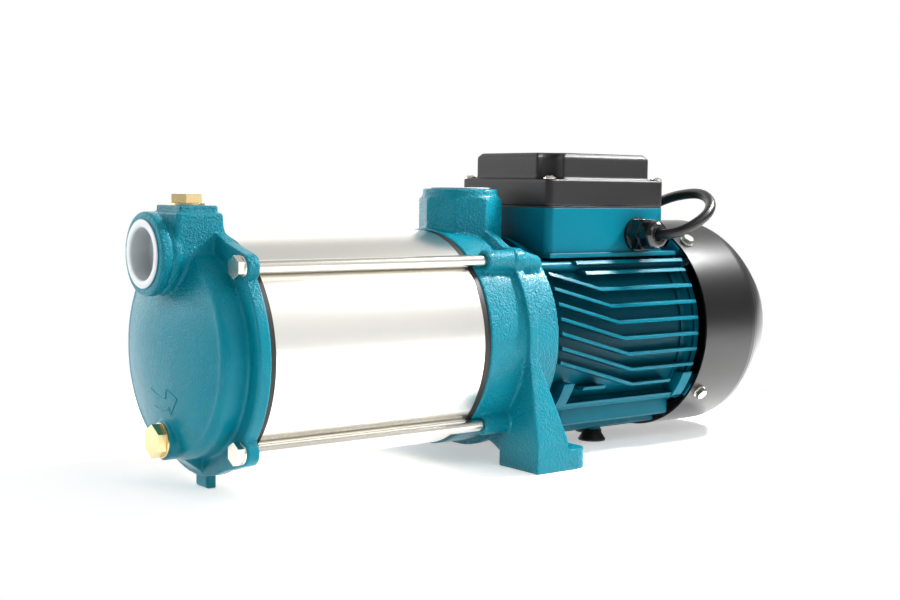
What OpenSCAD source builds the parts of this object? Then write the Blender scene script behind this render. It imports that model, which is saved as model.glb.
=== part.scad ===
// Horizontal multistage pump: suction head, steel barrel of stages, discharge bracket
// with feet, finned motor, terminal box and supply cord.
// The origin is on the floor, midway between the two foot bolts. X runs along the shaft
// from the inlet to the fan, Y runs across the feet and Z is up. Lengths are millimetres.

/* [Layout] */
// Height of the shaft above the floor
axis_h = 80; // [79:1:86]
// Distance from the foot bolts forward to the discharge port
foot_to_port = 30; // [28:1:32]
// Distance from the shaft sideways to each tie bolt
tie_offset = 52.6; // [52.6:0.2:54]

/* [Ports] */
// Radius of the bore at the crests of the one inch pipe thread
port_bore_r = 15.15; // [14.5:0.05:15.5]
// Depth of each threaded bore
port_bore_depth = 32; // [30:1:34]
// Radius of the plain mouth in front of each thread
port_mouth_r = 15.65; // [15.6:0.05:16]
// Radius across the corners of the eight-sided discharge boss
discharge_corner_r = 27.5; // [26.5:0.5:28]
// Radius of the turned collar on top of the discharge boss
discharge_collar_r = 24.8; // [24:0.2:25]
// Height of the discharge face above the shaft
discharge_h = 95.7; // [94:0.5:98]
// Radius of the inlet boss
inlet_boss_r = 24; // [23:0.5:25]
// Height of the inlet above the shaft
inlet_h = 57; // [56:0.5:58]
// Distance that the inlet face stands in front of the head flange
inlet_reach = 33.2; // [30:0.1:40]

/* [Caps on the ports] */
// Radius of the flange of each thread cap
cap_flange_r = 20; // [18.5:0.1:21]
// Thickness of the flange of each thread cap
cap_flange_t = 2; // [1.5:0.1:3]
// Inner radius of the skirt of each thread cap
cap_inner_r = 14.6; // [12:0.1:14.8]
// Depth that the skirt of each thread cap reaches into the bore
cap_depth = 12; // [8:1:12]

/* [Barrel] */
// Outer radius of the barrel
barrel_r = 69; // [68:0.2:69.6]
// Wall of the barrel
barrel_t = 1.5; // [1:0.1:2]
// Width of the rubber gasket seen at each end of the barrel
gasket_w = 4.6; // [2:0.2:6]
// Length of the register that centres each end of the barrel
register_l = 10; // [8:0.5:12]
// Wall of the registers
register_t = 6; // [5:0.5:8]

/* [Stages] */
// Length of one stage
stage_l = 26.4; // [25:0.1:28]
// Thickness of the inlet plate in front of the first stage
inlet_plate_t = 4; // [3:0.5:6]
// Radius of each impeller
impeller_r = 55; // [50:1:57]
// Width of the water passage in each impeller
impeller_gap = 6; // [5:0.5:7]
// Thickness of each impeller shroud
shroud_t = 1.5; // [1:0.1:2]
// Outer radius of the suction neck of each impeller
eye_r = 19.5; // [18:0.5:21]
// Outer radius of each impeller hub
hub_r = 11; // [10:0.5:12]
// Number of vanes in each impeller
vane_count = 6; // [4:1:8]
// Number of return vanes in each diffuser
return_vane_count = 8; // [6:1:10]
// Thickness of the vanes
vane_t = 2; // [1.5:0.1:3]

/* [Suction head] */
// Thickness of the head flange
head_flange_t = 8; // [7:0.5:10]
// Radius of the round part of the head flange
head_flange_r = 72.5; // [72:0.5:74]
// Radius of the lug round each tie bolt
lug_r = 7.6; // [7:0.2:8.4]
// Radius of the bowl
bowl_r = 61.5; // [60:0.5:63]
// Distance from the head flange to the rim of the bowl
bowl_l = 13.6; // [12:0.1:17]
// Height of the domed front of the bowl
bowl_rise = 10.4; // [8:0.1:14]
// Radius of the soft edge between the bowl's front and side
bowl_edge_r = 6; // [3:0.5:8]
// Wall of the bowl
bowl_wall = 6; // [5:0.5:7]
// Width of the front foot
front_foot_w = 14; // [12:1:18]
// Length of the front foot along the pump
front_foot_l = 6; // [5:0.5:14]

/* [Brass plugs] */
// Distance across the flats of each plug's head
plug_af = 17; // [16:0.5:18]
// Thickness of each plug's head
plug_head_t = 5.2; // [4:0.2:7]
// Radius of each plug's thread
plug_thread_r = 6.5; // [6:0.1:6.8]
// Length of each plug's thread
plug_thread_l = 8; // [6:0.5:9]
// Height of the drain plug above the floor
drain_z = 30; // [29:1:33]

/* [Tie bolts] */
// Distance from the shaft up or down to each tie bolt
tie_rise = 51.5; // [50:0.1:54]
// Radius of the tie bolt shanks
tie_r = 3.7; // [3.4:0.1:3.9]
// Distance across the flats of the tie bolt heads
tie_af = 11.6; // [11:0.1:13]
// Thickness of the tie bolt heads
tie_head_t = 4; // [3:0.1:7]
// Depth that the tie bolts reach into the bracket's bosses
tie_grip = 20; // [14:1:22]

/* [Bracket] */
// Length of the bracket along the pump
bracket_l = 55.3; // [55:0.1:60]
// Distance from the bracket's front face back to the discharge port
port_setback = 28.8; // [28:0.1:31]
// Outer radius of the bracket's ring
ring_r = 70; // [69.6:0.2:71]
// Radius of the rib round the ring
rib_r = 73.5; // [73:0.5:75]
// Thickness of the rib
rib_t = 7.5; // [6:0.5:9]
// Radius of the bosses that take the tie bolts
boss_r = 6.6; // [6:0.1:7.4]
// Radius of the pressure chamber
chamber_r = 60; // [57:0.5:62]
// Thickness of the wall between the chamber and the motor
bulkhead_t = 10; // [9:0.5:12]

/* [Feet] */
// Width over the two feet
foot_span = 171; // [168:1:178]
// Width of each foot
foot_w = 37.5; // [34:0.5:40]
// Length of each foot
foot_l = 44.4; // [44:0.1:48]
// Distance from the foot bolts to the rear end of each foot
foot_tail = 10.8; // [10:0.1:14]
// Thickness of each foot pad
foot_pad_t = 13; // [11:1:15]
// Height of the block under each leg
foot_block_h = 18.5; // [16:0.5:22]
// Length of the block under each leg
foot_block_l = 26; // [22:1:27]
// Radius of the foot bolt holes
foot_hole_r = 5; // [4.5:0.5:5.5]
// Distance between the two foot bolts
foot_bolt_span = 140; // [138:1:142]
// Radius of the rounded rear corner of each foot
foot_corner_r = 10; // [8:1:12]

/* [Motor] */
// Length of the motor housing
motor_l = 132; // [130:1:140]
// Outer radius of the motor tube
tube_r = 62.5; // [62:0.5:64]
// Wall of the motor tube
tube_wall = 4.5; // [4:0.5:6]
// Height of the cooling fins above the motor tube
fin_h = 8.5; // [7:0.5:9]
// Thickness of the cooling fins
fin_t = 2.2; // [1.6:0.1:2.6]
// Height between two side fins at the fan end
fin_pitch = 10.87; // [10.5:0.01:11.2]
// Height between two side fins at the pump end
fin_pitch_front = 9.4; // [9:0.05:9.8]
// Fall of the slanted stretch of each side fin for each millimetre of its length
fin_slope = 0.278; // [0.25:0.002:0.3]
// Distance between two fins under the motor
keel_pitch = 13.5; // [13:0.1:14]
// Length of the stator stack
stator_l = 80; // [70:1:84]
// Radius of the air gap's outer side
stator_bore_r = 32; // [30:0.5:34]
// Radial air gap between the rotor and the stator
air_gap = 0.4; // [0.35:0.05:0.6]
// Radius of the circle of the long motor bolts
motor_bolt_circle_r = 64.5; // [64:0.1:66]
// Radius of the long motor bolts
motor_bolt_r = 2.5; // [2:0.1:2.6]

/* [Terminal box] */
// Length of the terminal box
box_l = 107.8; // [100:0.2:112]
// Width of the terminal box
box_w = 92; // [88:0.4:96]
// Distance from the bracket to the terminal box
box_setback = 10.3; // [9:0.1:14]
// Height of the box's rim above the top of the motor tube
box_rise = 21.5; // [20:0.5:24]
// Depth of the box's underside below the top of the motor tube
box_sink = 11; // [9:0.5:12]
// Wall of the box
box_wall = 4; // [3.5:0.1:5]
// Radius of the box's upright corners
box_corner_r = 5; // [4.5:0.5:9]
// Thickness of the lid gasket
lid_gasket_t = 1.2; // [0.8:0.1:2]
// Height of the lid's rim
lid_rim_h = 17.8; // [16:0.2:20]
// Height of the raised part of the lid
lid_dome_h = 17.3; // [16:0.1:20]
// Distance from the rim's edge in to the raised part, along the pump
dome_inset_x = 2.2; // [1.5:0.1:7]
// Distance from the rim's edge in to the raised part, across the pump
dome_inset_y = 2.2; // [1.5:0.1:7]
// Wall of the lid
lid_wall = 2.5; // [2:0.1:3]
// Distance from the lid's edges in to the centre of each lid screw
lid_screw_inset = 4.6; // [4.5:0.1:7.5]
// Radius of the recess round each lid screw
lid_notch_r = 9.8; // [8:0.1:12]
// Radius of the capacitor
capacitor_r = 16; // [14:0.5:18]
// Length of the capacitor
capacitor_l = 60; // [55:1:70]

/* [Fan end] */
// Outer radius of the fan cover
cover_r = 74.5; // [74:0.1:76]
// Length of the fan cover
cover_l = 84; // [80:1:88]
// Wall of the fan cover
cover_t = 1.5; // [1:0.1:2]
// Length of the shoulder where the fan cover narrows to its grille
cover_shoulder_l = 36; // [32:1:46]
// Radius of the flat grille
cover_grille_r = 54; // [50:0.5:57]
// Size of the rounding between the shoulder and the grille
cover_edge_r = 6; // [3:0.5:7]
// Gap between the motor housing and the fan cover
cover_gap = 1.5; // [1:0.1:3]
// Radius of the fan
fan_r = 62; // [56:1:66]
// Number of fan blades
fan_blade_count = 7; // [5:1:9]

/* [Shaft and bearings] */
// Shaft radius in the impellers
shaft_r = 7; // [6.5:0.1:7.5]
// Shaft radius in the front bearing and the seal
front_journal_r = 10; // [9.5:0.1:10.5]
// Outer radius of the front bearing
front_bearing_r = 23.5; // [23:0.5:24]
// Width of the front bearing
front_bearing_w = 14; // [13:0.5:14.5]
// Shaft radius in the rear bearing
rear_journal_r = 8.5; // [8:0.1:9]
// Outer radius of the rear bearing
rear_bearing_r = 20; // [19:0.5:21]
// Width of the rear bearing
rear_bearing_w = 12; // [11:0.5:12.5]
// Shaft radius through the rotor
rotor_shaft_r = 12; // [11:0.5:13]

/* [Cable gland] */
// Distance from the fan end of the box to the gland
gland_from_box_end = 27.2; // [24:0.1:30]
// Height of the gland above the top of the motor tube
gland_rise = 3.9; // [3:0.1:5.5]
// Radius of the gland's flange
gland_flange_r = 11.5; // [11:0.1:12.2]
// Radius of the cable
cable_r = 3.5; // [3:0.1:3.6]

/* [Hidden] */
$fn = 72;
eps = 0.01;

// Clearances
slip = 0.05;
lip_gap = 0.4;
loose = 0.3;
running_gap = 0.4;
spigot_gap = 0.1;
axial_float = 0.5;

// Colours
teal_cast = [0.02, 0.50, 0.60];
teal_gloss = [0.01, 0.42, 0.50];
steel = [0.80, 0.80, 0.78];
brass = [0.78, 0.62, 0.26];
black = [0.10, 0.10, 0.11];
white_cap = [0.90, 0.93, 0.95];
copper = [0.75, 0.42, 0.22];
iron = [0.45, 0.46, 0.48];
ceramic = [0.85, 0.84, 0.80];

// Places along the pump
stage_count = 5;
port_x = -foot_to_port;
bracket_x0 = port_x - port_setback;
bracket_x1 = bracket_x0 + bracket_l;
stack_l = inlet_plate_t + stage_count * stage_l;
stack_x1 = bracket_x0 - register_l;
stack_x0 = stack_x1 - stack_l;
head_x1 = stack_x0 - axial_float - register_l;
head_x0 = head_x1 - head_flange_t;
inlet_x = head_x0 - inlet_reach;
rib_x0 = port_x - 1;
rib_x1 = rib_x0 + rib_t;
bulkhead_x0 = rib_x0 + 4;
bulkhead_x1 = bulkhead_x0 + bulkhead_t;
motor_x0 = bracket_x1;
motor_x1 = motor_x0 + motor_l;
cover_x0 = motor_x1 + cover_gap;
cover_x1 = cover_x0 + cover_l;

// Plain mouth of each port, just deeper than the skirt of its cap
port_mouth_l = cap_depth + 0.6;

// Heights
inlet_z = axis_h + inlet_h;
discharge_z = axis_h + discharge_h;
ties = [for (sy = [-1, 1]) for (sz = [-1, 1]) [sy * tie_offset, axis_h + sz * tie_rise]];

// Places of the filler and drain plugs
filler_x = head_x0 - 5.7;
block_top = inlet_z + inlet_boss_r - 0.5;
filler_pad_t = 4;
filler_pad_half_x = 12;
filler_pad_half_y = 15;
filler_z = block_top + filler_pad_t;
drain_x = head_x0 - 21.9;
drain_boss_r = 11.5;
plug_washer_t = 1.2;
plug_corner_r = plug_af / 2 / cos(30);

// Flat seats for the heads of the foot bolts
foot_seat_r = 9.5;

// Front foot
front_foot_x1 = head_x1 + 1.2;
front_foot_x0 = front_foot_x1 - front_foot_l;

// Tie bolt fit
boss_x0 = bracket_x0 + 6;
rear_boss_r = 5.2;
rear_boss_drop = 2.8;
rear_boss_x1 = bracket_x1 - 5;
tie_washer_t = 1;
tie_washer_r = 6.5;
tie_hole_r = tie_r + slip;

// Barrel fit
barrel_x0 = head_x1 + gasket_w;
barrel_x1 = bracket_x0 - gasket_w;
barrel_bore_r = barrel_r - barrel_t;
register_r = barrel_bore_r - 0.15;

// Stage fit, all measured from the front of a stage
stage_casing_r = barrel_bore_r - loose;
stage_wall = 2.5;
impeller_x = 3;
neck_x = -1;
neck_wall = 2;
impeller_w = impeller_gap + 2 * shroud_t;
mid_plate_x = impeller_x + impeller_w + 2;
mid_plate_t = 2;
mid_plate_r = impeller_r + 5;
back_plate_t = 2.5;
shaft_fit = 0.05;

// Shaft ends and shoulders
hubs_x0 = stack_x0 + inlet_plate_t + neck_x;
hubs_x1 = hubs_x0 + stage_count * stage_l;
nut_l = 7;
nut_af = 19;
shaft_x0 = hubs_x0 - nut_l - 2;
front_bearing_x1 = bracket_x1;
front_bearing_x0 = front_bearing_x1 - front_bearing_w;
rear_bearing_x0 = motor_x1 - 4.4;
rear_bearing_x1 = rear_bearing_x0 + rear_bearing_w;
spring_t = 1.3;
fan_shaft_r = 7;
fan_x0 = motor_x1 + 23;
fan_hub_l = 22;
fan_hub_r = 13;
shaft_x1 = fan_x0 + fan_hub_l + 6;

// Mechanical seal, from the bulkhead forward
seat_t = 5;
seat_r = 17;
seal_face_t = 5;
seal_face_r = 15.5;
seal_spring_l = 20;
slinger_t = 2.2;
slinger_r = 14;

// Motor tube, stator and rotor
tube_bore_r = tube_r - tube_wall;
fin_r = tube_r + fin_h;
// Radius of the ring that ends the motor tube at the bracket
tube_lip_r = tube_r + 2.5;
fin_top_front = axis_h + 43.5;
fin_top_back = axis_h + 32.3;
keel_r = fin_r + 2.2;
stator_x0 = motor_x0 + 24;
stator_x1 = stator_x0 + stator_l;
rotor_r = stator_bore_r - air_gap;
coil_l_front = 15;
coil_l_rear = 13;
cage_l = 8;

// Rear foot
rear_foot_x = motor_x0 + 84.4;
rear_foot_stagger = 22.4;
rear_foot_h = 8;
rear_foot_r = 9.6;
rear_foot_top_r = 5;
rear_stud_r = 1.5;
rear_stud_l = 5;

// Endshield and fan cover screws
shield_t = 4;
shield_boss_r = 27;
shield_boss_x1 = rear_bearing_x1 + spring_t + 5.8;
cover_screw_x = motor_x1 + 11;
cover_screw_turn = 8.6;
cover_screw_r = 2;
cover_screw_head_r = 4.7;

// Terminal box
box_x0 = motor_x0 + box_setback;
box_x1 = box_x0 + box_l;
box_y = box_w / 2;
tube_top = axis_h + tube_r;
box_z0 = tube_top - box_sink;
box_z1 = tube_top + box_rise;
box_floor_z = box_z0 + 4;
lid_z0 = box_z1 + lid_gasket_t;
lid_z1 = lid_z0 + lid_rim_h;
lid_top = lid_z1 + lid_dome_h;
lid_screw_r = 2;
lid_post_r = 5;
lid_screw_grip = 14;
lid_screws_at = [
    for (x = [box_x0 + lid_screw_inset, box_x1 - lid_screw_inset])
    for (s = [-1, 1]) [x, s * (box_y - lid_screw_inset)]
];
capacitor_y = 18;
capacitor_z = tube_top + 30;
capacitor_x0 = box_x0 + (box_l - capacitor_l) / 2;
block_x0 = box_x0 + 22;
block_l = 42;
block_w = 18;
block_h = 12;
block_y = -25;
block_z = tube_top + 3;

// Cable gland, which looks towards -Y
gland_x = box_x1 - gland_from_box_end;
gland_z = tube_top + gland_rise;
gland_flange_t = 2.6;
gland_shank_r = 7.9;
gland_body_l = 9;
gland_body_af = 20.4;
gland_nipple_l = 4;
gland_nipple_r = 6.6;
gland_nut_l = 10.6;
gland_nut_af = 19.4;
gland_y0 = -box_y;
gland_y1 = gland_y0 - gland_flange_t;
gland_y2 = gland_y1 - gland_body_l;
gland_y3 = gland_y2 - gland_nut_l;
locknut_t = 4;

// Route of the cord from inside the gland to the start of its coil, [x, y, z], with x from the gland
cord_course = [
    [0, -54, 146.4], [0, -60, 146.4], [0.1, -66, 146.5], [0.7, -72, 147],
    [2.5, -78, 148.2], [5.5, -83.5, 150.2], [9.9, -87.5, 153.2], [15.1, -90, 156.8],
    [20.7, -90.5, 160.6], [26.2, -88.5, 164.4], [31.2, -84.5, 168], [34.8, -79, 171.3],
    [37.3, -72, 173.7], [38.6, -64.5, 174.6], [39.1, -56, 174.2], [39.4, -46, 172.8],
    [40, -36, 170.6], [41.5, -24, 167.2], [43.4, -12, 163.8], [45.7, 0, 160.8],
    [48.6, 12, 158], [52.2, 25, 154.4], [56.2, 38, 149.6], [59.8, 50, 141.6],
    [62.6, 61, 131], [63.8, 70, 118], [64.1, 76, 104], [64.1, 79.5, 89],
    [64.1, 81, 74], [64.1, 82.5, 60], [64.1, 85, 46], [64.1, 89.5, 33],
    [64.1, 96.5, 22], [64.1, 105.5, 13], [64.1, 116, 7], [64.1, 128, 3.9],
    [64.1, 140, 3.6]
];
cord_route = [for (p = cord_course)
    [gland_x + p[0], p[1] < 0 ? p[1] * box_y / 46 : p[1], p[2] < 140 ? p[2] : p[2] + gland_z - 146.4]];
cord_sides = 10;
coil_mid_r = 38.5;
coil_half_w = 2 * cable_r + 0.2;
coil_lane_r = coil_mid_r + cable_r;
coil_x = gland_x + 64.1 - coil_lane_r;
coil_y = 146;
coil_h = 5 * cable_r;
coil_z = 0.1;

// Plug at the end of the cord, lying behind the coil
plug_x = coil_x - 44;
plug_y = coil_y + coil_lane_r;
plug_r = 18.5;
plug_z = plug_r;

// Bars and rings along the shaft, and plates across it

module rod_x(x0, x1, r, y = 0, z = axis_h) {
    translate([x0, y, z]) rotate([0, 90, 0]) cylinder(h = x1 - x0, r = r);
}

module ring_x(x0, x1, outer, inner) {
    difference() {
        rod_x(x0, x1, outer);
        rod_x(x0 - 1, x1 + 1, inner);
    }
}

module turned() {
    translate([0, 0, axis_h]) rotate([0, 90, 0]) rotate_extrude() children();
}

module slab_x(x0, x1) {
    translate([x0, 0, 0]) rotate([90, 0, 90]) linear_extrude(x1 - x0) children();
}

module hex_x(x0, x1, af, y = 0, z = axis_h) {
    translate([x0, y, z]) rotate([0, 90, 0]) cylinder(h = x1 - x0, r = af / 2 / cos(30), $fn = 6);
}

module rounded_rect(x0, x1, half_y, r) {
    translate([x0 + r, -half_y]) square([x1 - x0 - 2 * r, 2 * half_y]);
    translate([x0, -half_y + r]) square([x1 - x0, 2 * half_y - 2 * r]);
    for (x = [x0 + r, x1 - r]) for (y = [-half_y + r, half_y - r]) translate([x, y]) circle(r);
}

// Suction head

// Outline across the pump of the head flange: a disc, two lugs joined to the inlet block
// above and two lugs joined to the foot below
module head_flange_outline() {
    translate([0, axis_h]) circle(head_flange_r);
    hull() {
        for (s = [-1, 1]) translate([s * tie_offset, axis_h + tie_rise]) circle(lug_r, $fn = 32);
        translate([-14, axis_h + 60]) square([28, 9.6]);
    }
    hull() {
        for (s = [-1, 1]) translate([s * tie_offset, axis_h - tie_rise]) circle(lug_r, $fn = 32);
        translate([-front_foot_w / 2 - 2, axis_h - head_flange_r + 0.5]) square([front_foot_w + 4, 8]);
    }
}

// Half outline of the bowl as [radius, x], grown inwards by a wall
function bowl_points(wall) =
    let (
        r = bowl_r - wall,
        rim = head_x0 - bowl_l + wall,
        rise = bowl_rise,
        ball = (r * r + rise * rise) / (2 * rise),
        edge = max(bowl_edge_r - wall, 1),
        tilt = asin((r - edge) / ball),
        nose = rim - rise
    )
    concat(
        [for (i = [0:10]) let (a = tilt * i / 10) [ball * sin(a), nose + ball * (1 - cos(a))]],
        [for (i = [0:6]) let (a = tilt + (90 - tilt) * i / 6)
            [r - edge + edge * sin(a), nose + ball * (1 - cos(tilt)) + edge * (cos(tilt) - cos(a))]],
        [[r, head_x0 + 1], [0, head_x0 + 1]]
    );

module suction_head() {
    color(teal_cast) difference() {
        union() {
            turned() polygon(bowl_points(0));
            slab_x(head_x0, head_x1) head_flange_outline();
            ring_x(head_x1 - 1, head_x1 + register_l, register_r, register_r - register_t);
            rod_x(inlet_x, head_x0 + 2, inlet_boss_r - 1.6, 0, inlet_z);
            rod_x(inlet_x + 1, inlet_x + 6, inlet_boss_r, 0, inlet_z);
            rod_x(inlet_x, inlet_x + 2, inlet_boss_r - 0.8, 0, inlet_z);
            rod_x(inlet_x + 8.5, inlet_x + 12, inlet_boss_r - 0.6, 0, inlet_z);
            hull() {
                translate([inlet_x + 10, -inlet_boss_r + 2, inlet_z])
                    cube([head_x0 + 7.5 - inlet_x - 10, 2 * inlet_boss_r - 4, 8]);
                translate([inlet_x + 10, -inlet_boss_r + 2, block_top - 4])
                    cube([head_x0 + 5.5 - inlet_x - 10, 2 * inlet_boss_r - 4, 4]);
            }
            translate([filler_x - filler_pad_half_x, -filler_pad_half_y, block_top - 1])
                cube([2 * filler_pad_half_x, 2 * filler_pad_half_y, filler_pad_t + 1]);
            rod_x(drain_x, head_x0, drain_boss_r, 0, drain_z);
            hull() {
                translate([front_foot_x0 - 14, -front_foot_w / 2 - 2, axis_h - bowl_r - 0.5])
                    cube([front_foot_l + 14, front_foot_w + 4, 4]);
                translate([front_foot_x0, -front_foot_w / 2, 8]) cube([front_foot_l, front_foot_w, 1]);
            }
            translate([front_foot_x0, -front_foot_w / 2, 0]) cube([front_foot_l, front_foot_w, 9]);
        }
        difference() {
            union() {
                turned() polygon(bowl_points(bowl_wall));
                rod_x(head_x0, head_x1 + register_l + 1, register_r - register_t);
            }
            rod_x(inlet_x, inlet_x + port_bore_depth + 2, port_bore_r + 4, 0, inlet_z);
            rod_x(drain_x, drain_x + 12, drain_boss_r, 0, drain_z);
        }
        rod_x(inlet_x - 1, inlet_x + port_bore_depth, port_bore_r, 0, inlet_z);
        rod_x(inlet_x - 1, inlet_x + port_mouth_l, port_mouth_r, 0, inlet_z);
        rod_x(inlet_x, inlet_x + port_bore_depth + 5, port_bore_r - 2, 0, inlet_z);
        translate([filler_x, 0, filler_z - plug_thread_l - 1])
            cylinder(h = plug_thread_l + 2, r = plug_thread_r + slip);
        translate([filler_x, 0, inlet_z]) cylinder(h = filler_z - inlet_z, r = 4);
        rod_x(drain_x - 1, drain_x + plug_thread_l + 1, plug_thread_r + slip, 0, drain_z);
        rod_x(drain_x, drain_x + 16, 4, 0, drain_z);
        for (p = ties) rod_x(head_x0 - 1, head_x1 + 1, tie_r + loose, p[0], p[1]);
        for (p = ties) rod_x(head_x0 - 20, head_x0, tie_washer_r + loose, p[0], p[1]);
        barrel_clear();
    }
}

// Space that the barrel and its gasket take, cut from the front foot
module barrel_clear() {
    difference() {
        rod_x(head_x1, head_x1 + 20, barrel_r + loose);
        rod_x(head_x1 - 1, head_x1 + 21, register_r);
    }
}

// Barrel and stages

module barrel() {
    color(steel) ring_x(barrel_x0, barrel_x1, barrel_r, barrel_bore_r);
}

module front_gasket() {
    color(black) ring_x(head_x1, barrel_x0, barrel_r, register_r + slip);
}

module rear_gasket() {
    color(black) ring_x(barrel_x1, bracket_x0, barrel_r, register_r + slip);
}

module inlet_plate() {
    color(steel) ring_x(stack_x0, stack_x0 + inlet_plate_t, stage_casing_r, eye_r + running_gap);
}

function stage_x(i) = stack_x0 + inlet_plate_t + (i - 1) * stage_l;

// Flat vane swept along a spiral from radius r0 to r1, turning through sweep degrees
module spiral_vane(r0, r1, sweep) {
    steps = 8;
    function spot(i, side) =
        let (a = sweep * i / steps, r = r0 + (r1 - r0) * i / steps)
        [r * cos(a) - side * vane_t / 2 * sin(a), r * sin(a) + side * vane_t / 2 * cos(a)];
    polygon(concat([for (i = [0:steps]) spot(i, -1)], [for (i = [steps:-1:0]) spot(i, 1)]));
}

module vane_ring(x0, x1, count, r0, r1, sweep) {
    for (i = [0:count - 1])
        translate([x0, 0, axis_h]) rotate([0, 90, 0]) rotate([0, 0, 360 * i / count])
            linear_extrude(x1 - x0) spiral_vane(r0, r1, sweep);
}

module diffuser(i) {
    x = stage_x(i);
    back = x + stage_l - back_plate_t;
    color(steel) {
        ring_x(x, x + stage_l, stage_casing_r, stage_casing_r - stage_wall);
        ring_x(back, x + stage_l, stage_casing_r - stage_wall + eps, eye_r + running_gap);
        ring_x(x + mid_plate_x, x + mid_plate_x + mid_plate_t, mid_plate_r, hub_r + running_gap);
        vane_ring(x + mid_plate_x + mid_plate_t - eps, back + eps, return_vane_count,
            eye_r + 3, mid_plate_r - 2, -40);
    }
}

module impeller(i) {
    x = stage_x(i);
    front = x + impeller_x;
    back = front + impeller_w;
    color(steel) {
        ring_x(x + neck_x, x + neck_x + stage_l, hub_r, shaft_r + shaft_fit);
        ring_x(x + neck_x, front + shroud_t, eye_r, eye_r - neck_wall);
        ring_x(front, front + shroud_t, impeller_r, eye_r - neck_wall);
        ring_x(back - shroud_t, back, impeller_r, hub_r - eps);
        vane_ring(front + shroud_t - eps, back - shroud_t + eps, vane_count,
            eye_r - 1, impeller_r - 1, 55);
    }
}

// Tie bolts and brass plugs

module tie_bolts() {
    color(steel) for (p = ties) {
        rod_x(head_x0 - tie_washer_t, boss_x0 + tie_grip, tie_r, p[0], p[1]);
        hex_x(head_x0 - tie_washer_t - tie_head_t, head_x0 - tie_washer_t, tie_af, p[0], p[1]);
    }
}

module tie_washers() {
    color(steel) for (p = ties) difference() {
        rod_x(head_x0 - tie_washer_t, head_x0, tie_washer_r, p[0], p[1]);
        rod_x(head_x0 - tie_washer_t - 1, head_x0 + 1, tie_hole_r, p[0], p[1]);
    }
}

// Hexagon plug that stands on z = 0 with its thread below
module hex_plug() {
    cylinder(h = plug_head_t, r = plug_corner_r, $fn = 6);
    translate([0, 0, -plug_thread_l - plug_washer_t])
        cylinder(h = plug_thread_l + plug_washer_t + eps, r = plug_thread_r);
}

module filler_plug() {
    color(brass) translate([filler_x, 0, filler_z + plug_washer_t]) hex_plug();
}

module drain_plug() {
    color(brass) translate([drain_x - plug_washer_t, 0, drain_z]) rotate([0, -90, 0]) hex_plug();
}

module plug_washer() {
    difference() {
        cylinder(h = plug_washer_t, r = plug_corner_r + 0.4);
        translate([0, 0, -1]) cylinder(h = plug_washer_t + 2, r = plug_thread_r + slip);
    }
}

module plug_washers() {
    color(ceramic) {
        translate([filler_x, 0, filler_z]) plug_washer();
        translate([drain_x, 0, drain_z]) rotate([0, -90, 0]) plug_washer();
    }
}

// Bracket

// Outline across the pump of the part of the bracket behind its rib
module rear_outline() {
    intersection() {
        translate([0, axis_h]) circle(ring_r);
        translate([-ring_r, 0]) square([2 * ring_r, axis_h + tie_rise]);
    }
}

// Saddle behind the rib, which slopes down to the blind ends of the two upper bosses
module rear_saddle() {
    hull() {
        slab_x(rib_x1 - 1, rib_x1) {
            for (s = [-1, 1]) translate([s * tie_offset, axis_h + tie_rise]) circle(boss_r, $fn = 32);
            translate([-12, axis_h + 50]) square([24, 13]);
        }
        slab_x(rear_boss_x1 - 1, rear_boss_x1) for (s = [-1, 1])
            translate([s * tie_offset, axis_h + tie_rise - rear_boss_drop]) circle(rear_boss_r, $fn = 32);
    }
}

// Outline across the pump of the rib, with a lug round each tie bolt
module rib_outline() {
    translate([0, axis_h]) circle(rib_r);
    hull() for (s = [-1, 1]) translate([s * tie_offset, axis_h + tie_rise]) circle(lug_r, $fn = 32);
    for (s = [-1, 1]) translate([s * tie_offset, axis_h - tie_rise]) circle(lug_r);
}

// One leg, on the side given by s
module leg(s) {
    outer = foot_span / 2;
    inner = outer - foot_w;
    root = rib_r - 10.5;
    x0 = foot_tail - foot_l;
    difference() {
        hull() {
            translate([rib_x0, min(s * root, s * rib_r), axis_h - 20]) cube([rib_t, rib_r - root, 10]);
            translate([x0, min(s * inner, s * outer), 0]) cube([foot_block_l, foot_w, foot_block_h]);
        }
        translate([0, s * foot_bolt_span / 2, foot_pad_t]) cylinder(h = axis_h, r = foot_seat_r);
        translate([0, s * foot_bolt_span / 2, -1]) cylinder(h = axis_h, r = foot_hole_r);
    }
    difference() {
        linear_extrude(foot_pad_t) hull() {
            translate([x0, min(s * inner, s * outer)]) square([foot_block_l, foot_w]);
            for (y = [outer - foot_corner_r, inner + foot_corner_r])
                translate([foot_tail - foot_corner_r, s * y]) circle(foot_corner_r, $fn = 48);
        }
        translate([0, s * foot_bolt_span / 2, -1]) cylinder(h = foot_pad_t + 2, r = foot_hole_r);
    }
    slab_x(rib_x0, rib_x1) polygon([
        [s * 62, axis_h - 28], [s * (inner + 2), 7], [s * (inner - 1.5), 8], [s * (inner - 7), 11],
        [s * (inner - 14), 13.8], [s * 20, axis_h - sqrt(rib_r * rib_r - 400) + 0.5], [s * 20, axis_h - 50]
    ]);
}

// Eight-sided discharge boss with its turned collar, cut back where it meets the motor's lip
module discharge_boss() {
    low = axis_h + 55;
    difference() {
        translate([port_x, 0, 0]) intersection() {
            translate([0, 0, low]) cylinder(h = discharge_z - low, r = discharge_corner_r, $fn = 8);
            rotate_extrude() polygon([
                [0, low - 1], [discharge_corner_r + 1, low - 1], [discharge_corner_r + 1, discharge_z - 7.5],
                [discharge_collar_r, discharge_z - 4.6], [discharge_collar_r, discharge_z - 1],
                [discharge_collar_r - 1, discharge_z], [0, discharge_z]
            ]);
        }
        rod_x(bracket_x1, bracket_x1 + 5, tube_lip_r + lip_gap);
    }
}

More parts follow.
